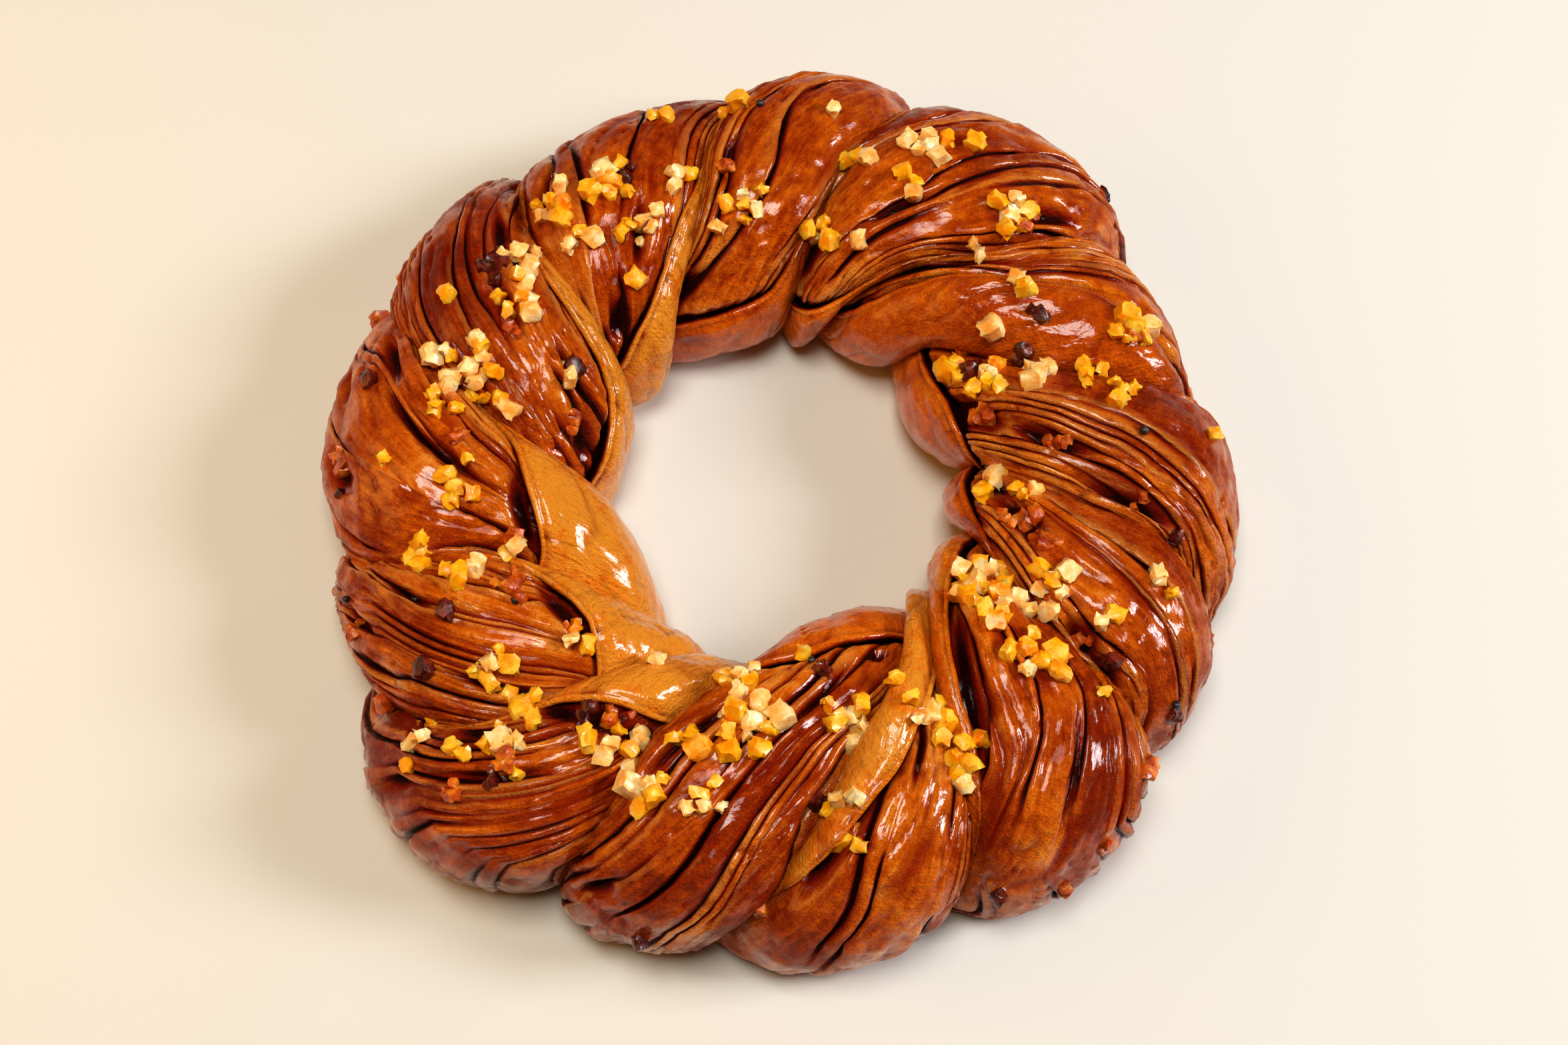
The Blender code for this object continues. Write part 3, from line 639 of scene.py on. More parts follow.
def lobePiece(index):  # the sheets of one lobe, side by side, closed below by a foot inside the loaf
    reach, under = density["topReach"], density["underAngle"]
    over = np.concatenate([
        np.linspace(-under, -reach, density["sideRows"], endpoint=False),
        np.linspace(-reach, reach, density["topRows"], endpoint=False),
        np.linspace(reach, under, density["sideRows"] + 1),
    ])
    place, relief, sideways, groove, tint, lip = sheetProfile(index, over)
    rows = over[:, None]
    turn, across = lobeTurn(index, rows, place)
    turn = turn + np.degrees(sideways / loafSection(rows)[0])
    rise = lobeRise(index, rows, across)
    base = loafPoint(rows, turn, rise)
    first, last = fanPlaces(index, rows)
    cross = (place - first) / (last - first) * sheets["fanMm"]
    depth, length, spacing, sharpness = sheets["creases"]
    lines = stacked(rows * degreeMm / length, cross / spacing, 9.0 * index)
    creases = ridges(smoothField(lines, 1.0, 13), sharpness)
    plateau = 1 - groove
    away = nearEdge(base, rows, place, index)
    reach, power = skins["reach"]
    tucked = (1 - smoothStep(away / reach)) ** power
    skinGroove, edgeGroove = skins["groove"]
    opening, paintedShade = openingField(index, rows, place)
    relief = relief - depth * creases * plateau - (skinGroove + edgeGroove * (away < 0)) * tucked - opening
    eased, deepest = sheets["deepest"]
    room = deepest - eased
    relief = np.where(relief < -eased, -eased - room * np.tanh((-relief - eased) / room), relief)
    relief = relief * (1 - place ** sheets["levelOut"]) + sheets["lumps"] * doughBumps(base) * plateau
    foot = loafPoint(rows, lobeTurn(index, rows, np.array([[1.0, 0.0]]))[0], -lobes["root"] - lobes["sink"])
    points = np.concatenate([loafPoint(rows, turn, rise + relief), foot], 1)
    points[..., 2] = np.maximum(points[..., 2], loaf["underside"])
    # painted shadow beside the skin's edge; with the painted shade of openings and creases it darkens the
    # grooves
    shadow = np.exp(-((np.maximum(away, 0) / skins["shadow"]) ** 2))
    groove = np.maximum.reduce([groove, shadow, paintedShade, sheets["creaseShade"] * creases])
    pad = np.zeros((len(over), 2))
    flat = stacked(rows * degreeMm, np.concatenate([cross, pad], 1))
    tone = 0 * groove + dough[lobeNames[index]]["tone"][1]
    attributes = {"groove": groove, "tint": tint, "lip": lip, "skin": 0 * groove, "tone": tone}
    attributes = {label: np.concatenate([values, pad], 1) for label, values in attributes.items()}
    return finishCrust("lobe_" + lobeNames[index], points, attributes, flat)


def skinPiece(index):  # the smooth outer sheet, a closed slab from the hole up to a rounded edge
    edgePlace, edgeOver = skinEdge(index)
    place = edgePlace[:, None]
    share = 1 - (1 - np.linspace(0, 1, density["skinRows"])) ** skins["rowPower"]
    start = -density["underAngle"]
    over = start + (edgeOver[:, None] - start) * share[None, :]
    turn, across = lobeTurn(index, over, place)
    rise = lobeRise(index, over, across)
    base = loafPoint(over, turn, rise)
    away = np.maximum(-nearEdge(base, over, place - 1e-6, index), 0)
    mean, change, length = skins["thick"]
    thick = mean * (1 + change * smoothField(base[:, -1:, :], length, 41))
    roundWidth, roundDrop = skins["round"]
    roundOff = (1 - smoothStep(away / roundWidth)) ** 2
    depth, length, spacing, sharpness = skins["folds"]
    across = place * lobeWidth(index, over)
    lines = stacked(over * degreeMm / length, across / spacing, 4.0 * index + 60)
    folds = ridges(smoothField(lines, 1.0, 17), sharpness)
    top = rise + skins["lift"] - roundDrop * roundOff - depth * folds * (1 - roundOff)
    top = top + sheets["lumps"] * doughBumps(base)
    # the rounded edge, at right angles to its line
    stepAlong = np.gradient(edgeOver) * degreeMm
    stepAcross = np.gradient(edgePlace) * lobeWidth(index, edgeOver)
    size = np.maximum(np.hypot(stepAlong, stepAcross), 1e-6)
    outAlong, outAcross = (stepAcross / size)[:, None], (-stepAlong / size)[:, None]
    bend = np.radians(np.array([skins["bends"]]))
    half = thick / 2
    out = half * np.sin(bend)
    lipOver = edgeOver[:, None] + outAlong * out / degreeMm
    lipTurn = turn[:, -1:] + np.degrees(outAcross * out / loafSection(edgeOver)[0][:, None])
    lipHeight = top[:, -1:] - half * (1 - np.cos(bend))
    # the underside of the slab, back down to the hole
    backRows, power = skins["back"]
    back = 1 - np.linspace(0, 1, backRows)[None, 1:] ** power
    backOver = start + (edgeOver[:, None] - start) * back
    backTurn, backAcross = lobeTurn(index, backOver, place)
    backHeight = lobeRise(index, backOver, backAcross) - thick
    parts = ((over, turn, top), (lipOver, lipTurn, lipHeight), (backOver, backTurn, backHeight))
    points = np.concatenate([loafPoint(*part) for part in parts], 1)
    points[..., 2] = np.maximum(points[..., 2], loaf["underside"])
    count, around = points.shape[:2]
    # painted shade on the skin: darker at its rounding, in its folds and under its edge, and fully dark over
    # its hidden underside
    darkRound, darkFold, darkUnder, lit = skins["paintedShade"]
    lipShade = np.clip((1 - np.cos(bend)) * darkUnder - lit, 0, 1) + np.zeros((count, 1))
    onTop = darkRound * roundOff + darkFold * folds
    groove = np.concatenate([onTop, lipShade, np.ones((count, back.shape[1]))], 1)
    mean, change = skins["pale"]
    line = mean + change * drift(np.random.default_rng(index + 70), edgeOver, (2.1, 4.3))
    pale = np.clip(line, 0, 1)[:, None] * roundOff
    change, length = skins["tint"]
    allOver = np.concatenate([over, lipOver, backOver], 1)
    attributes = {
        "groove": groove,
        "tint": change * smoothField(points, length, 51),
        "lip": np.pad(pale, ((0, 0), (0, around - pale.shape[1]))),
        "skin": 0 * groove + 1,
        "tone": 0 * groove + dough[lobeNames[index]]["tone"][0],
    }
    flat = stacked(allOver * degreeMm, place * lobeWidth(index, allOver))
    return finishCrust("skin_" + lobeNames[index], points, attributes, flat)


# The flat underside and the dough inside, in mm and degrees over the loaf
baked = {
    "around": 260,
    "topRows": 40,
    "underRows": 26,
    "topReach": 92.0,
    "sunk": 9.5,  # its top lies this far below the loaf's surface
    "leastTop": 4.0,
    "below": (122.0, 131.0),  # the edge turns under between these
    "inset": 3.5,  # the edge lies this far inside the lobes' outer faces
    "edgeHeight": 2.2,
    "uneven": (0.25, 0.2, 11.0),  # mean height of the underside, its unevenness and the size of one patch
}


def basePiece():  # the flat underside and the dough inside, below every lobe
    turn = np.linspace(0, 360, baked["around"], endpoint=False)[:, None]
    over = np.linspace(-baked["topReach"], baked["topReach"], baked["topRows"])[None, :]
    top = loafPoint(over, turn, np.minimum(ringRise(over, turn), 0.0) - baked["sunk"])
    top[..., 2] = np.maximum(top[..., 2], baked["leastTop"])
    below = np.array([baked["below"]])
    rim, hole = (loafPoint(at, turn, ringRise(at, turn) - baked["inset"]) for at in (below, -below[:, ::-1]))
    rim[..., 2] = baked["edgeHeight"], 0.0
    hole[..., 2] = 0.0, baked["edgeHeight"]
    share = np.linspace(0, 1, baked["underRows"])[None, 1:-1, None]
    under = rim[:, 1:2] * (1 - share) + hole[:, 0:1] * share
    mean, uneven, patch = baked["uneven"]
    under[..., 2] = mean + uneven * smoothField(under * np.array([1, 1, 0]), patch, 8)
    points = np.concatenate([top, rim, under, hole], 1)
    return meshPiece("baked_base", points.reshape(-1, 3), gridFaces(*points.shape[:2], True))


def linear(hexColour):
    value = [int(hexColour[i : i + 2], 16) / 255 for i in (1, 3, 5)]
    return tuple(c / 12.92 if c <= 0.04045 else ((c + 0.055) / 1.055) ** 2.4 for c in value) + (1,)


def setNode(tree, made, settings):  # each is a property, colour stops, or an input's value or source
    for name, value in settings.items():
        if isinstance(value, bpy.types.Node):
            value = value.outputs[0]
        if isinstance(value, bpy.types.NodeSocket):
            tree.links.new(value, made.inputs[name])
        elif name == "stops":
            elements = made.color_ramp.elements
            while len(elements) < len(value):
                elements.new(0.5)
            for element, (at, colour) in zip(elements, value):
                element.position = at
                element.color = linear(colour)
        elif isinstance(name, str) and hasattr(made, name):
            setattr(made, name, value)
        else:
            made.inputs[name].default_value = value
    return made


def addNode(tree, kind, settings=None):
    return setNode(tree, tree.nodes.new(kind), settings or {})


def newMaterial(name):
    material = bpy.data.materials.new(name)
    material.use_nodes = True
    return material, material.node_tree, material.node_tree.nodes["Principled BSDF"]


def patterns(tree, table):  # from size in mm, detail, roughness, and how far drawn out along the sheets
    place = addNode(tree, "ShaderNodeTexCoord")
    made = {"place": place.outputs["Object"]}
    for name, (size, detail, roughness, drawn) in table.items():
        at = place.outputs["Object"]
        if drawn:
            squeeze = {"Scale": (1 / drawn, 1, 1), "Vector": place.outputs["UV"]}
            at = addNode(tree, "ShaderNodeMapping", squeeze)
        noise = {"Scale": 1 / (size * mm), "Detail": detail, "Roughness": roughness, "Vector": at}
        made[name] = addNode(tree, "ShaderNodeTexNoise", noise).outputs[0]
    return made


# What a user would change in the crust's look
crustLook = {
    # the folds' colours: a red of pooled syrup deepened as painted shade, and a near black that is painted
    # shade
    "creviceShade": "#2c0200",
    "grooveSyrupAndShade": "#961c00",
    "sheets": ("#862400", "#aa3c00", "#cc5a04", "#ea780c", "#fca03a"),  # dark to light
    "skin": ("#9c3000", "#be4a00", "#de6602", "#f88006", "#ffa634"),
    "lip": "#f0a44c",
    "lipShare": 0.55,
    "patterns": {
        "blotch": (14.0, 4.0, 0.6, 0),  # patches that browned more
        "mottle": (3.2, 5.0, 0.7, 0),  # blisters
        "streak": (1.2, 4.0, 0.6, 10.0),  # stretched dough, drawn coarser than it is so that it shows
        "grain": (0.9, 4.0, 0.65, 0),  # pores, also drawn coarser
        "syrup": (2.4, 4.0, 0.5, 2.5),  # runs of syrup along the sheets
    },
    # how light the dough is: its level, and each pattern's share and middle
    "level": 0.16,
    "light": {
        "tone": (0.9, 0),
        "blotch": (1.3, 0.5),
        "mottle": (1.0, 0.5),
        "golden": (1.0, 0),
        "grain": (0.35, 0.5),
    },
    "sheetsLight": {"tint": (0.3, 0), "streak": (0.8, 0.5)},
    "skinLight": {"tint": (0.12, 0)},
    # golden towards the hole and browner at the rim, by metres from the middle
    "golden": {"From Min": 0.055, "From Max": 0.13, "To Min": 0.2, "To Max": -0.14},
    "foldEdge": {"mottle": (0.4, 0.5)},
    # how deep a fold is painted red with syrup and shade, and how deep it is painted nearly black as shade
    "red": {"From Min": 0.12, "From Max": 0.55},  # how deep a fold is red
    "deep": {"From Min": 0.55, "From Max": 0.92},  # and nearly black
    "rough": {"From Min": 0.3, "From Max": 0.7, "To Min": 0.24, "To Max": 0.52},
    "relief": {"streak": (1.3, 0), "mottle": (1.6, 0)},
    "bump": {"Strength": 1.0, "Distance": 1.5 * mm},
    # syrup: from where it has soaked in to where it lies thick, on the smooth skins, and missing in the folds
    "wet": {"From Min": 0.43, "From Max": 0.58, "To Min": 0.2, "To Max": 1.0},
    "wetSkin": 0.9,
    "dryFolds": -0.85,
    "coatBump": {"Strength": 0.6, "Distance": 0.7 * mm},
    "shader": {"Coat IOR": 1.5, "Coat Roughness": 0.11, "IOR": 1.45, "Specular IOR Level": 0.3},
    "sheen": "#ffc08a",
}


# Enriched dough, egg-washed, baked brown and brushed with syrup: glossy, and darker and redder in the folds,
# partly from syrup and partly as painted shade
def crustMaterial():
    look = crustLook
    material, tree, shader = newMaterial("glazedCrust")
    add = partial(addNode, tree)
    made = patterns(tree, look["patterns"])
    for name in ("groove", "tint", "skin", "lip", "tone"):
        made[name] = add("ShaderNodeAttribute", {"attribute_name": name}).outputs["Fac"]

    def addUp(total, shares):  # the total plus each pattern's share of it
        for name, (share, middle) in shares.items():
            part = {"operation": "MULTIPLY_ADD", 0: made[name], 1: share, 2: -share * middle}
            part = add("ShaderNodeMath", part)
            total = add("ShaderNodeMath", {"operation": "ADD", 0: total, 1: part})
        return total

    level = add("ShaderNodeVectorMath", {"operation": "MULTIPLY", 0: made["place"], 1: (1, 1, 0)})
    outward = add("ShaderNodeVectorMath", {"operation": "LENGTH", 0: level}).outputs["Value"]
    made["golden"] = add("ShaderNodeMapRange", {"Value": outward, **look["golden"]})
    light = addUp(look["level"], look["light"])
    colours = {}
    for name in ("sheets", "skin"):
        stops = tuple(zip((0.0, 0.25, 0.5, 0.75, 1.0), look[name]))
        ownLight = addUp(light, look[name + "Light"])
        colours[name] = add("ShaderNodeValToRGB", {"Fac": ownLight, "stops": stops})
    top = {"data_type": "RGBA", "Factor": made["skin"], 6: colours["sheets"], 7: colours["skin"]}
    top = add("ShaderNodeMix", top).outputs[2]
    # pale front edges, then the folds: red first, from syrup and painted shade, then nearly black as painted
    # shade
    edge = add("ShaderNodeMath", {"operation": "MULTIPLY", 0: made["lip"], 1: look["lipShare"]})
    fold = addUp(made["groove"], look["foldEdge"])
    red, deep = (add("ShaderNodeMapRange", {"Value": fold, **look[name]}) for name in ("red", "deep"))
    for share, colour in ((edge, "lip"), (red, "grooveSyrupAndShade"), (deep, "creviceShade")):
        top = {"data_type": "RGBA", "Factor": share, 6: top, 7: linear(look[colour])}
        top = add("ShaderNodeMix", top).outputs[2]
    # syrup: gloss broken up by the grain of the crust, and less of it left in the folds
    wet = add("ShaderNodeMapRange", {"Value": made["blotch"], **look["wet"]})
    film = add("ShaderNodeMath", {"operation": "MULTIPLY", 0: made["skin"], 1: look["wetSkin"]})
    wet = add("ShaderNodeMath", {"operation": "MAXIMUM", 0: wet, 1: film})
    left = add("ShaderNodeMath", {"operation": "MULTIPLY_ADD", 0: deep, 1: look["dryFolds"], 2: 1.0})
    height = addUp(made["grain"], look["relief"])
    setNode(tree, shader, {
        "Base Color": top,
        "Roughness": add("ShaderNodeMapRange", {"Value": made["mottle"], **look["rough"]}),
        "Normal": add("ShaderNodeBump", {"Height": height, **look["bump"]}),
        "Coat Normal": add("ShaderNodeBump", {"Height": made["syrup"], **look["coatBump"]}),
        "Coat Weight": add("ShaderNodeMath", {"operation": "MULTIPLY", 0: wet, 1: left}),
        "Specular Tint": linear(look["sheen"]),
        **look["shader"],
    })
    return material


# Dough browned dry against the tray: matt, an even brown with paler and darker patches
bakedLook = {
    "material": "bakedUnderside",
    "colours": ("#6e3412", "#9a5a26", "#c08a4c"),
    "at": (0.3, 0.5, 0.72),
    "patches": (20.0, 6.0, 0.65, 0),
    "grain": (1.2, 4.0, 0.5, 0),
    "rough": {"To Min": 0.55, "To Max": 0.8},
    "bump": {"Strength": 0.4, "Distance": 0.5 * mm},
    "shader": {},
}

# Candied peel, fruit and seeds: sugary, a little see-through, shiny where the syrup wets them
bitLook = {
    "at": (0.34, 0.5, 0.66),
    "patches": (4.5, 4.0, 0.6, 0),
    "grain": (0.9, 4.0, 0.6, 0),
    "bump": {"Strength": 0.55, "Distance": 0.5 * mm},
    "shader": {
        "Subsurface Radius": (0.0030, 0.0013, 0.0005),
        "Subsurface Scale": 1.0,
        "Coat Weight": 0.4,
        "Coat Roughness": 0.1,
    },
}

# Their colours dark to light, how see-through and how rough they are
bits = {
    "peel_yellow": ("candiedPeelYellow", ("#f69800", "#ffb40a", "#ffd04a"), 0.5, (0.18, 0.48)),
    "peel_pale": ("candiedPeelPale", ("#ffac40", "#ffcd7c", "#ffe6b2"), 0.5, (0.18, 0.48)),
    "peel_amber": ("candiedPeelAmber", ("#ea8400", "#ffa60e", "#ffc860"), 0.5, (0.18, 0.48)),
    "filling_amber": ("fillingAmber", ("#8c2a02", "#c25608", "#e08a24"), 0.4, (0.18, 0.48)),
    "filling_dark": ("fillingDark", ("#2c0603", "#4e120a", "#7a2a1a"), 0.2, (0.1, 0.4)),
    "black_seeds": ("blackSeeds", ("#0c0a0c", "#1c1a20", "#3a3638"), 0.0, (0.28, 0.58)),
}


def plainMaterial(look):  # patches of colour, and a fine grain that roughens the surface
    material, tree, shader = newMaterial(look["material"])
    made = patterns(tree, {"patches": look["patches"], "grain": look["grain"]})
    stops = tuple(zip(look["at"], look["colours"]))
    setNode(tree, shader, {
        "Base Color": addNode(tree, "ShaderNodeValToRGB", {"Fac": made["patches"], "stops": stops}),
        "Roughness": addNode(tree, "ShaderNodeMapRange", {"Value": made["grain"], **look["rough"]}),
        "Normal": addNode(tree, "ShaderNodeBump", {"Height": made["grain"], **look["bump"]}),
        **look["shader"],
    })
    return material


def bitMaterial(name):
    material, colours, seeThrough, (smoothest, roughest) = bits[name]
    rough = {"To Min": smoothest, "To Max": roughest}
    shader = {"Subsurface Weight": seeThrough, **bitLook["shader"]}
    own = {"material": material, "colours": colours, "rough": rough, "shader": shader}
    return plainMaterial({**bitLook, **own})


# Diced peel: heaps on each lobe as angle over the loaf, place across the lobe and number of dice
peel = {
    "heaps": (
        ((-19, -0.16, 6), (27, -0.73, 2)),
        ((-30, -0.73, 5), (-8, 0.97, 2), (-2, -0.08, 3), (4, -0.8, 3), (9, 0.74, 6), (13, -0.3, 6)),
        ((-9, -0.14, 2), (16, 0.55, 6)),
        ((-51, -0.68, 4), (-39, -0.35, 5), (-19, -0.72, 4), (-1, -0.8, 5), (6, -0.54, 3)),
        ((-51, -0.36, 3), (-30, -0.5, 3), (-6, 0.66, 6), (12, 0.51, 2)),
        ((-31, -0.42, 12), (-16, -0.53, 6), (2, -0.4, 7), (9, 0.76, 2)),
        ((-3, -0.62, 6), (17, -0.93, 4), (14, 0.83, 3), (30, 0.58, 2)),
        ((-27, 0.7, 6), (-11, -0.75, 6), (-9, 0.2, 10), (-2, 0.63, 3), (15, 0.18, 5), (15, 0.75, 5)),
        ((6, -0.53, 7), (11, 0.91, 3), (24, 0.65, 4), (39, 0.73, 2), (53, 0.92, 4)),
        ((-16, -0.3, 2), (3, 0.66, 3), (11, -0.55, 5)),
        ((-17, -0.81, 2), (-2, -0.29, 4), (3, 0.65, 3), (14, -0.94, 4)),
        ((-39, 0.0, 2), (-19, -0.73, 2), (-8, 0.35, 6), (-3, -0.73, 10), (1, 0.7, 5), (7, -0.69, 2)),
        ((-15, 0.26, 5), (-7, -0.51, 3), (-2, 0.75, 3), (2, 0.0, 6), (8, -0.6, 6), (28, 0.49, 2)),
    ),
    "straysPerLobe": 2,
    "strayReach": (-40.0, 45.0),
    "straySpread": 0.8,
    "spacing": 3.2,  # between the dice of a heap, which are laid in a spiral
    "heapTurn": 2.4,  # radians from one to the next
    "loose": 0.4,
    "seed": 7,
    "size": 4.5,
    "sizes": (0.7, 1.25),
    "sunk": 0.22,  # share of a die that lies below the crust
    "shape": {"block": "dice", "sides": 4, "uneven": 0.3, "round": 0.42, "lump": 4.5, "seed": 3},
    "kinds": (("peel_yellow", 5), ("peel_pale", 4), ("peel_amber", 1)),
}

# Bits of filling in the openings: lobe, degrees over the loaf, place across, number, kind
filling = {
    "spots": (
        ("E", -30, 0.5, 9, 0), ("E", -15, 0.55, 5, 0), ("E", 8, 0.78, 3, 0), ("E", 20, 0.82, 3, 1),
        ("E", 66, 0.7, 3, 1), ("D", -55, 0.3, 5, 0), ("D", -48, 0.36, 4, 1), ("D", 10, 0.8, 2, 0),
        ("F", 68, 0.3, 4, 0), ("F", 76, 0.5, 2, 0), ("L", -10, 0.5, 4, 0), ("L", 5, 0.62, 5, 1),
        ("L", -50, 0.4, 4, 0), ("L", -38, 0.52, 4, 1), ("J", -8, 0.62, 6, 0), ("J", -18, 0.42, 3, 0),
        ("J", 30, 0.43, 1, 1), ("J", 10, 0.6, 2, 1), ("J", 60, 0.6, 4, 0), ("I", 0, 0.42, 5, 0),
        ("I", 3, 0.56, 3, 1), ("I", 30, 0.62, 4, 0), ("I", 35, 0.56, 3, 1), ("I", 46, 0.62, 3, 0),
        ("K", 50, 0.45, 6, 0), ("K", -3, 0.6, 2, 0), ("K", 50, 0.37, 1, 1), ("K", 35, 0.66, 1, 1),
        ("H", 62, 0.2, 3, 0), ("H", 12, 0.22, 3, 1), ("H", -30, 0.45, 3, 1), ("C", -10, 0.6, 3, 1),
        ("M", 5, 0.55, 4, 1), ("A", 0, 0.3, 3, 0), ("B", 12, 0.78, 5, 0), ("G", 25, 0.66, 2, 0),
        ("K", -20, 0.3, 3, 0), ("D", -48, 0.55, 5, 0), ("D", -20, 0.62, 4, 0), ("D", 30, 0.85, 2, 1),
        ("E", 82, 0.3, 3, 0), ("F", 84, 0.6, 3, 0), ("F", 72, 0.8, 2, 1), ("H", 80, 0.5, 2, 1),
        ("J", 82, 0.25, 3, 0), ("K", 80, 0.8, 3, 0), ("L", 84, 0.3, 3, 0), ("B", 84, 0.7, 2, 1),
        ("C", 20, 0.7, 3, 0), ("C", -20, 0.8, 2, 1),
    ),
    "kinds": (("filling_amber", 3.6), ("filling_dark", 3.8)),
    "spread": 4.2,
    "sizes": (0.6, 1.3),
    "sunk": 0.35,
    "shape": {"block": "dice", "sides": 4, "uneven": 0.3, "round": 0.6, "lump": 4.0, "seed": 3},
}

# A few black seeds: lobe, degrees over the loaf, place across
seeds = {
    "spots": (
        ("J", 21, 0.67), ("J", -7, 0.56), ("J", 58, 0.69), ("E", 60, 0.7),
        ("D", 10, 0.5), ("H", -36, 0.52), ("F", 5, 0.3), ("A", 20, 0.4),
    ),
    "size": 2.4,
    "sunk": 0.2,
    "shape": {"block": "ball", "sides": 2, "uneven": 0.15, "round": 0.5, "lump": 0.4, "seed": 3},
}


def heapSpots(index):
    rng = random.Random(peel["seed"] * 100 + index)
    heaps = list(peel["heaps"][index])
    spread = peel["straySpread"]
    for _ in range(peel["straysPerLobe"]):
        heaps.append((rng.uniform(*peel["strayReach"]), rng.uniform(-spread, spread), 1))
    spots = []
    for over, across, count in heaps:
        middle, half = lobeSpan(index, over)
        turn = float(middle + half * across)
        first = rng.uniform(0, 2 * math.pi)
        for rank in range(count):
            reach = peel["spacing"] * math.sqrt(rank + rng.uniform(0, peel["loose"]))
            way = first + rank * peel["heapTurn"]
            spots.append((over + reach * math.cos(way), turn + reach * math.sin(way) / perDegree(over)))
    return spots


def perDegree(over):  # mm along the ring
    return math.radians(1) * float(loafSection(over)[0])


def ringPoint(over, turn):
    return loafPoint(over, turn, ringRise(np.array(float(over)), np.array(float(turn))))


def crustAt(over, turn):  # uppermost point of the finished crust there
    start = loafPoint(over, turn, 24.0)
    down = loafPoint(over, turn, 0.0) - start
    down = Vector(down / np.linalg.norm(down))
    start = Vector(start * mm)
    hits = (piece.ray_cast(start, down, distance=0.05) for piece in crustPieces)
    found = [at for hit, at, _, _ in hits if hit]
    if not found:
        return ringPoint(over, turn)
    return np.array(min(found, key=lambda at: (at - start).length)) / mm


def scatterPoints(name, spots, sizes, sunk):  # one vertex per bit, with the way it stands and its size
    places, ups = [], []
    for (over, turn), size in zip(spots, sizes):
        along = ringPoint(over + 2, turn) - ringPoint(over - 2, turn)
        side = ringPoint(over, turn + 1) - ringPoint(over, turn - 1)
        up = np.cross(side, along)
        up = up / np.linalg.norm(up)
        places.append(crustAt(over, turn) + up * size * (0.5 - sunk))
        ups.append(up)
    piece = meshPiece(name, np.array(places), [])
    attribute = piece.data.attributes.new("up", "FLOAT_VECTOR", "POINT")
    attribute.data.foreach_set("vector", np.array(ups, np.float32).ravel())
    addAttribute(piece, "size", np.array(sizes) * mm)
    return piece


# What all scattered bits share
block = {
    "ball": 0.6,  # radius of the ball that a rounded block is drawn in towards, in blocks
    "tumble": (0.5, 0.5, 3.14),  # radians to either side
    "lumpSize": 2.3 * mm,
    "sharpFrom": 48.0,  # degrees
    "stretchSeed": 5,
}


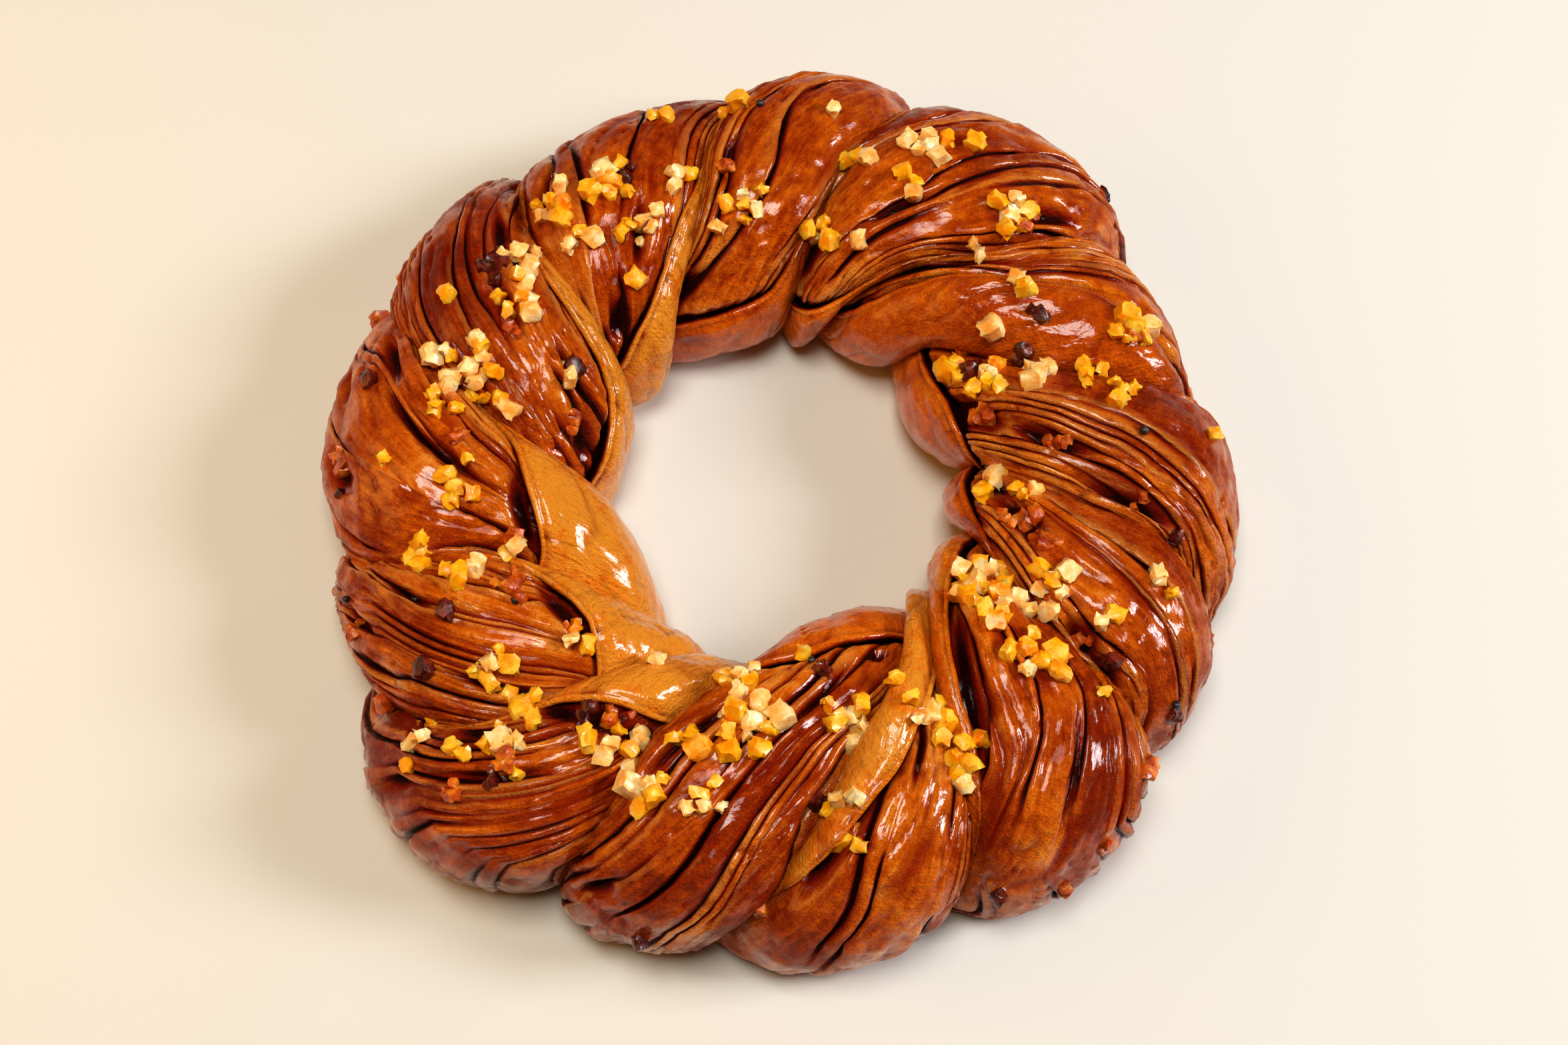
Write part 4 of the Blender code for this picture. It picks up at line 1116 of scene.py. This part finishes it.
def scatterTree(name, material, shape, inputs):  # blocks on points, turned, stretched and made lumpy
    tree = bpy.data.node_groups.new(name, "GeometryNodeTree")
    add = partial(addNode, tree)
    for way in ("INPUT", "OUTPUT"):
        tree.interface.new_socket("Geometry", in_out=way, socket_type="NodeSocketGeometry")
    for label, value in inputs.items():
        kind = "NodeSocketInt" if isinstance(value, int) else "NodeSocketFloat"
        tree.interface.new_socket(label, in_out="INPUT", socket_type=kind).default_value = value
    given = add("NodeGroupInput").outputs
    sides = shape["sides"]
    if shape["block"] == "dice":
        cuts = {"Vertices " + axis: sides for axis in "XYZ"}
        one = add("GeometryNodeMeshCube", {"Size": (1, 1, 1), **cuts})
    else:
        one = add("GeometryNodeMeshIcoSphere", {"Radius": 0.5, "Subdivisions": sides})
    place = add("GeometryNodeInputPosition")
    ball = add("ShaderNodeVectorMath", {"operation": "NORMALIZE", 0: place})
    ball = add("ShaderNodeVectorMath", {"operation": "SCALE", "Scale": block["ball"], 0: ball})
    rounded = add("ShaderNodeMix", {"data_type": "VECTOR", 0: given["Round"], 4: place, 5: ball}).outputs[1]
    one = add("GeometryNodeSetPosition", {"Geometry": one, "Position": rounded})
    # each stands on the crust, turned and stretched by chance
    up = add("GeometryNodeInputNamedAttribute", {"data_type": "FLOAT_VECTOR", "Name": "up"})
    size = add("GeometryNodeInputNamedAttribute", {"data_type": "FLOAT", "Name": "size"})
    facing = add("FunctionNodeAlignRotationToVector", {"axis": "Z", "Vector": up})
    ends = {0: [-angle for angle in block["tumble"]], 1: block["tumble"]}
    tumble = add("FunctionNodeRandomValue", {"data_type": "FLOAT_VECTOR", "Seed": given["Seed"], **ends})
    turned = {"rotation_space": "LOCAL", "Rotation": facing, "Rotate By": tumble}
    turned = add("FunctionNodeRotateRotation", turned)
    for end, operation in enumerate(("SUBTRACT", "ADD")):
        side = add("ShaderNodeMath", {"operation": operation, 0: 1.0, 1: given["Uneven"]})
        ends[end] = add("ShaderNodeCombineXYZ", {axis: side for axis in range(3)})
    stretch = {"data_type": "FLOAT_VECTOR", "Seed": block["stretchSeed"], **ends}
    stretch = add("FunctionNodeRandomValue", stretch)
    scale = add("ShaderNodeVectorMath", {"operation": "SCALE", 0: stretch, "Scale": size})
    points = add("GeometryNodeMeshToPoints", {"Mesh": given["Geometry"]})
    made = {"Points": points, "Instance": one, "Rotation": turned, "Scale": scale}
    made = add("GeometryNodeRealizeInstances", {"Geometry": add("GeometryNodeInstanceOnPoints", made)})
    # lumps
    field = add("ShaderNodeTexNoise", {"Scale": 1 / block["lumpSize"], "Detail": 1.0, "Roughness": 0.5})
    push = {"operation": "SUBTRACT", 0: field.outputs["Color"], 1: (0.5, 0.5, 0.5)}
    push = add("ShaderNodeVectorMath", push)
    push = add("ShaderNodeVectorMath", {"operation": "SCALE", 0: push, "Scale": given["Lump"]})
    made = add("GeometryNodeSetPosition", {"Geometry": made, "Offset": push})
    made = add("GeometryNodeSetShadeSmooth", {"Geometry": made})
    isSharp = {0: add("GeometryNodeInputMeshEdgeAngle"), 1: math.radians(block["sharpFrom"])}
    isSharp = add("FunctionNodeCompare", {"data_type": "FLOAT", "operation": "GREATER_THAN", **isSharp})
    sharp = {"domain": "EDGE", "Shade Smooth": False, "Geometry": made, "Selection": isSharp}
    made = add("GeometryNodeSetShadeSmooth", sharp)
    made = add("GeometryNodeSetMaterial", {"Material": material, "Geometry": made})
    add("NodeGroupOutput", {"Geometry": made})
    return tree


def runTree(points, tree, inputs, name):  # the tree's result as a plain mesh
    modifier = points.modifiers.new("scatter", "NODES")
    modifier.node_group = tree
    sockets = tree.interface.items_tree
    identifiers = {item.name: item.identifier for item in sockets if item.in_out == "INPUT"}
    for label, value in inputs.items():
        modifier[identifiers[label]] = value
    graph = bpy.context.evaluated_depsgraph_get()
    mesh = bpy.data.meshes.new_from_object(points.evaluated_get(graph))
    flat = np.empty(len(mesh.vertices) * 3, np.float32)
    mesh.vertices.foreach_get("co", flat)
    mesh.vertices.foreach_set("co", (insideBox(flat.reshape(-1, 3).astype(float) / mm) * mm).ravel())
    points.modifiers.clear()
    bpy.data.objects.remove(points)
    return addObject(name, mesh)


def scatterPiece(name, found, look):
    spots, sizes = zip(*found)
    shape = look["shape"]
    inputs = {label.title(): shape[label] for label in ("uneven", "round", "seed")}
    inputs["Lump"] = shape["lump"] * mm
    points = scatterPoints(name + "_points", spots, sizes, look["sunk"])
    tree = scatterTree(name + "Tree", bitMaterial(name), shape, inputs)
    print(name, len(spots))
    return runTree(points, tree, inputs, name)


crust = crustMaterial()
crustPieces = []
for index in range(len(lobeNames)):
    for piece in (lobePiece(index), skinPiece(index)):
        piece.data.materials.append(crust)
        crustPieces.append(piece)
print("crust", sum(len(p.data.polygons) for p in crustPieces) * 2, "triangles")

base = basePiece()
base.data.materials.append(plainMaterial(bakedLook))
pieces = crustPieces + [base]
bpy.context.view_layer.update()
print("base")

shared = random.Random(peel["seed"])
kindNames, kindShares = zip(*peel["kinds"])
dice = {name: [] for name in kindNames}
for index in range(len(lobeNames)):
    for spot in heapSpots(index):
        kind = shared.choices(kindNames, kindShares)[0]
        dice[kind].append((spot, peel["size"] * shared.uniform(*peel["sizes"])))
pieces += [scatterPiece(name, found, peel) for name, found in dice.items()]

crumbs = {name: [] for name, _ in filling["kinds"]}
for letter, over, place, count, kind in filling["spots"]:
    name, size = filling["kinds"][kind]
    turn = float(lobeTurn(lobeNames.index(letter), over, place)[0])
    for rank in range(count):
        reach = filling["spread"] * math.sqrt(rank / 2.5) * shared.uniform(0.6, 1.2)
        way = shared.uniform(0, 2 * math.pi)
        along = over + reach * math.cos(way) / degreeMm
        spot = (along, turn + 0.7 * reach * math.sin(way) / perDegree(over))
        crumbs[name].append((spot, size * shared.uniform(*filling["sizes"])))
pieces += [scatterPiece(name, found, filling) for name, found in crumbs.items()]

found = []
for letter, over, place in seeds["spots"]:
    found.append(((over, float(lobeTurn(lobeNames.index(letter), over, place)[0])), seeds["size"]))
pieces.append(scatterPiece("black_seeds", found, seeds))

for piece in pieces:
    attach(piece, "root")
    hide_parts(node)

# Camera: seen from 68 degrees above the near side
camera = {
    "target": (0.001125, -0.010086, 0.020),
    "elevation": 68.0,
    "distance": 0.6876,
    "lens": 50.0,
    "sensor": 36.0,
}
lensData = bpy.data.cameras.new("camera")
lensData.lens = camera["lens"]
lensData.sensor_width = camera["sensor"]
view = addObject("camera", lensData)
tilt = math.radians(camera["elevation"])
view.location = Vector(camera["target"]) + Vector((0, -math.cos(tilt), math.sin(tilt))) * camera["distance"]
view.rotation_euler = (math.pi / 2 - tilt, 0, 0)
bpy.context.scene.camera = view

# Pale floor of uncoated paper: matt, a shade greyer than white
paper = {"colour": "#d8d9d0", "halfWidth": 3.0, "shader": {"Roughness": 0.85, "Specular IOR Level": 0.2}}
reach = paper["halfWidth"]
floorData = bpy.data.meshes.new("floor")
corners = [(-reach, -reach, 0), (reach, -reach, 0), (reach, reach, 0), (-reach, reach, 0)]
floorData.from_pydata(corners, [], [(0, 1, 2, 3)])
floor = addObject("floor", floorData)
paperMaterial, tree, shader = newMaterial("palePaper")
setNode(tree, shader, {"Base Color": linear(paper["colour"]), **paper["shader"]})
floorData.materials.append(paperMaterial)

# Soft daylight from the far right and above, a warm fill from the left and an even pale surround
studio = {
    "key": ((1.6, 0.0, 1.1), 0.6, 29.0, "#f1ecf2"),
    "above": ((-0.1, 0.0, 2.4), 1.0, 35.0, "#fffaf4"),
    "warm": ((-0.62, 0.0, 0.42), 0.5, 1.7, "#ffb95c"),
    "surround": ("#ffdcae", 0.055),
}
for name in ("key", "above", "warm"):
    at, size, power, colour = studio[name]
    lamp = bpy.data.lights.new(name, "AREA")
    lamp.size = size
    lamp.energy = power
    lamp.color = linear(colour)[:3]
    holder = addObject(name, lamp)
    holder.location = at
    holder.rotation_euler = (-Vector(at)).to_track_quat("-Z", "Y").to_euler()
surround = bpy.data.worlds.new("surround")
surround.use_nodes = True
colour, strength = studio["surround"]
air = surround.node_tree
setNode(air, air.nodes["Background"], {"Color": linear(colour), "Strength": strength})
bpy.context.scene.world = surround
bpy.context.scene.view_settings.view_transform = "Standard"
bpy.context.scene.view_settings.look = "Medium High Contrast"

print("finished")
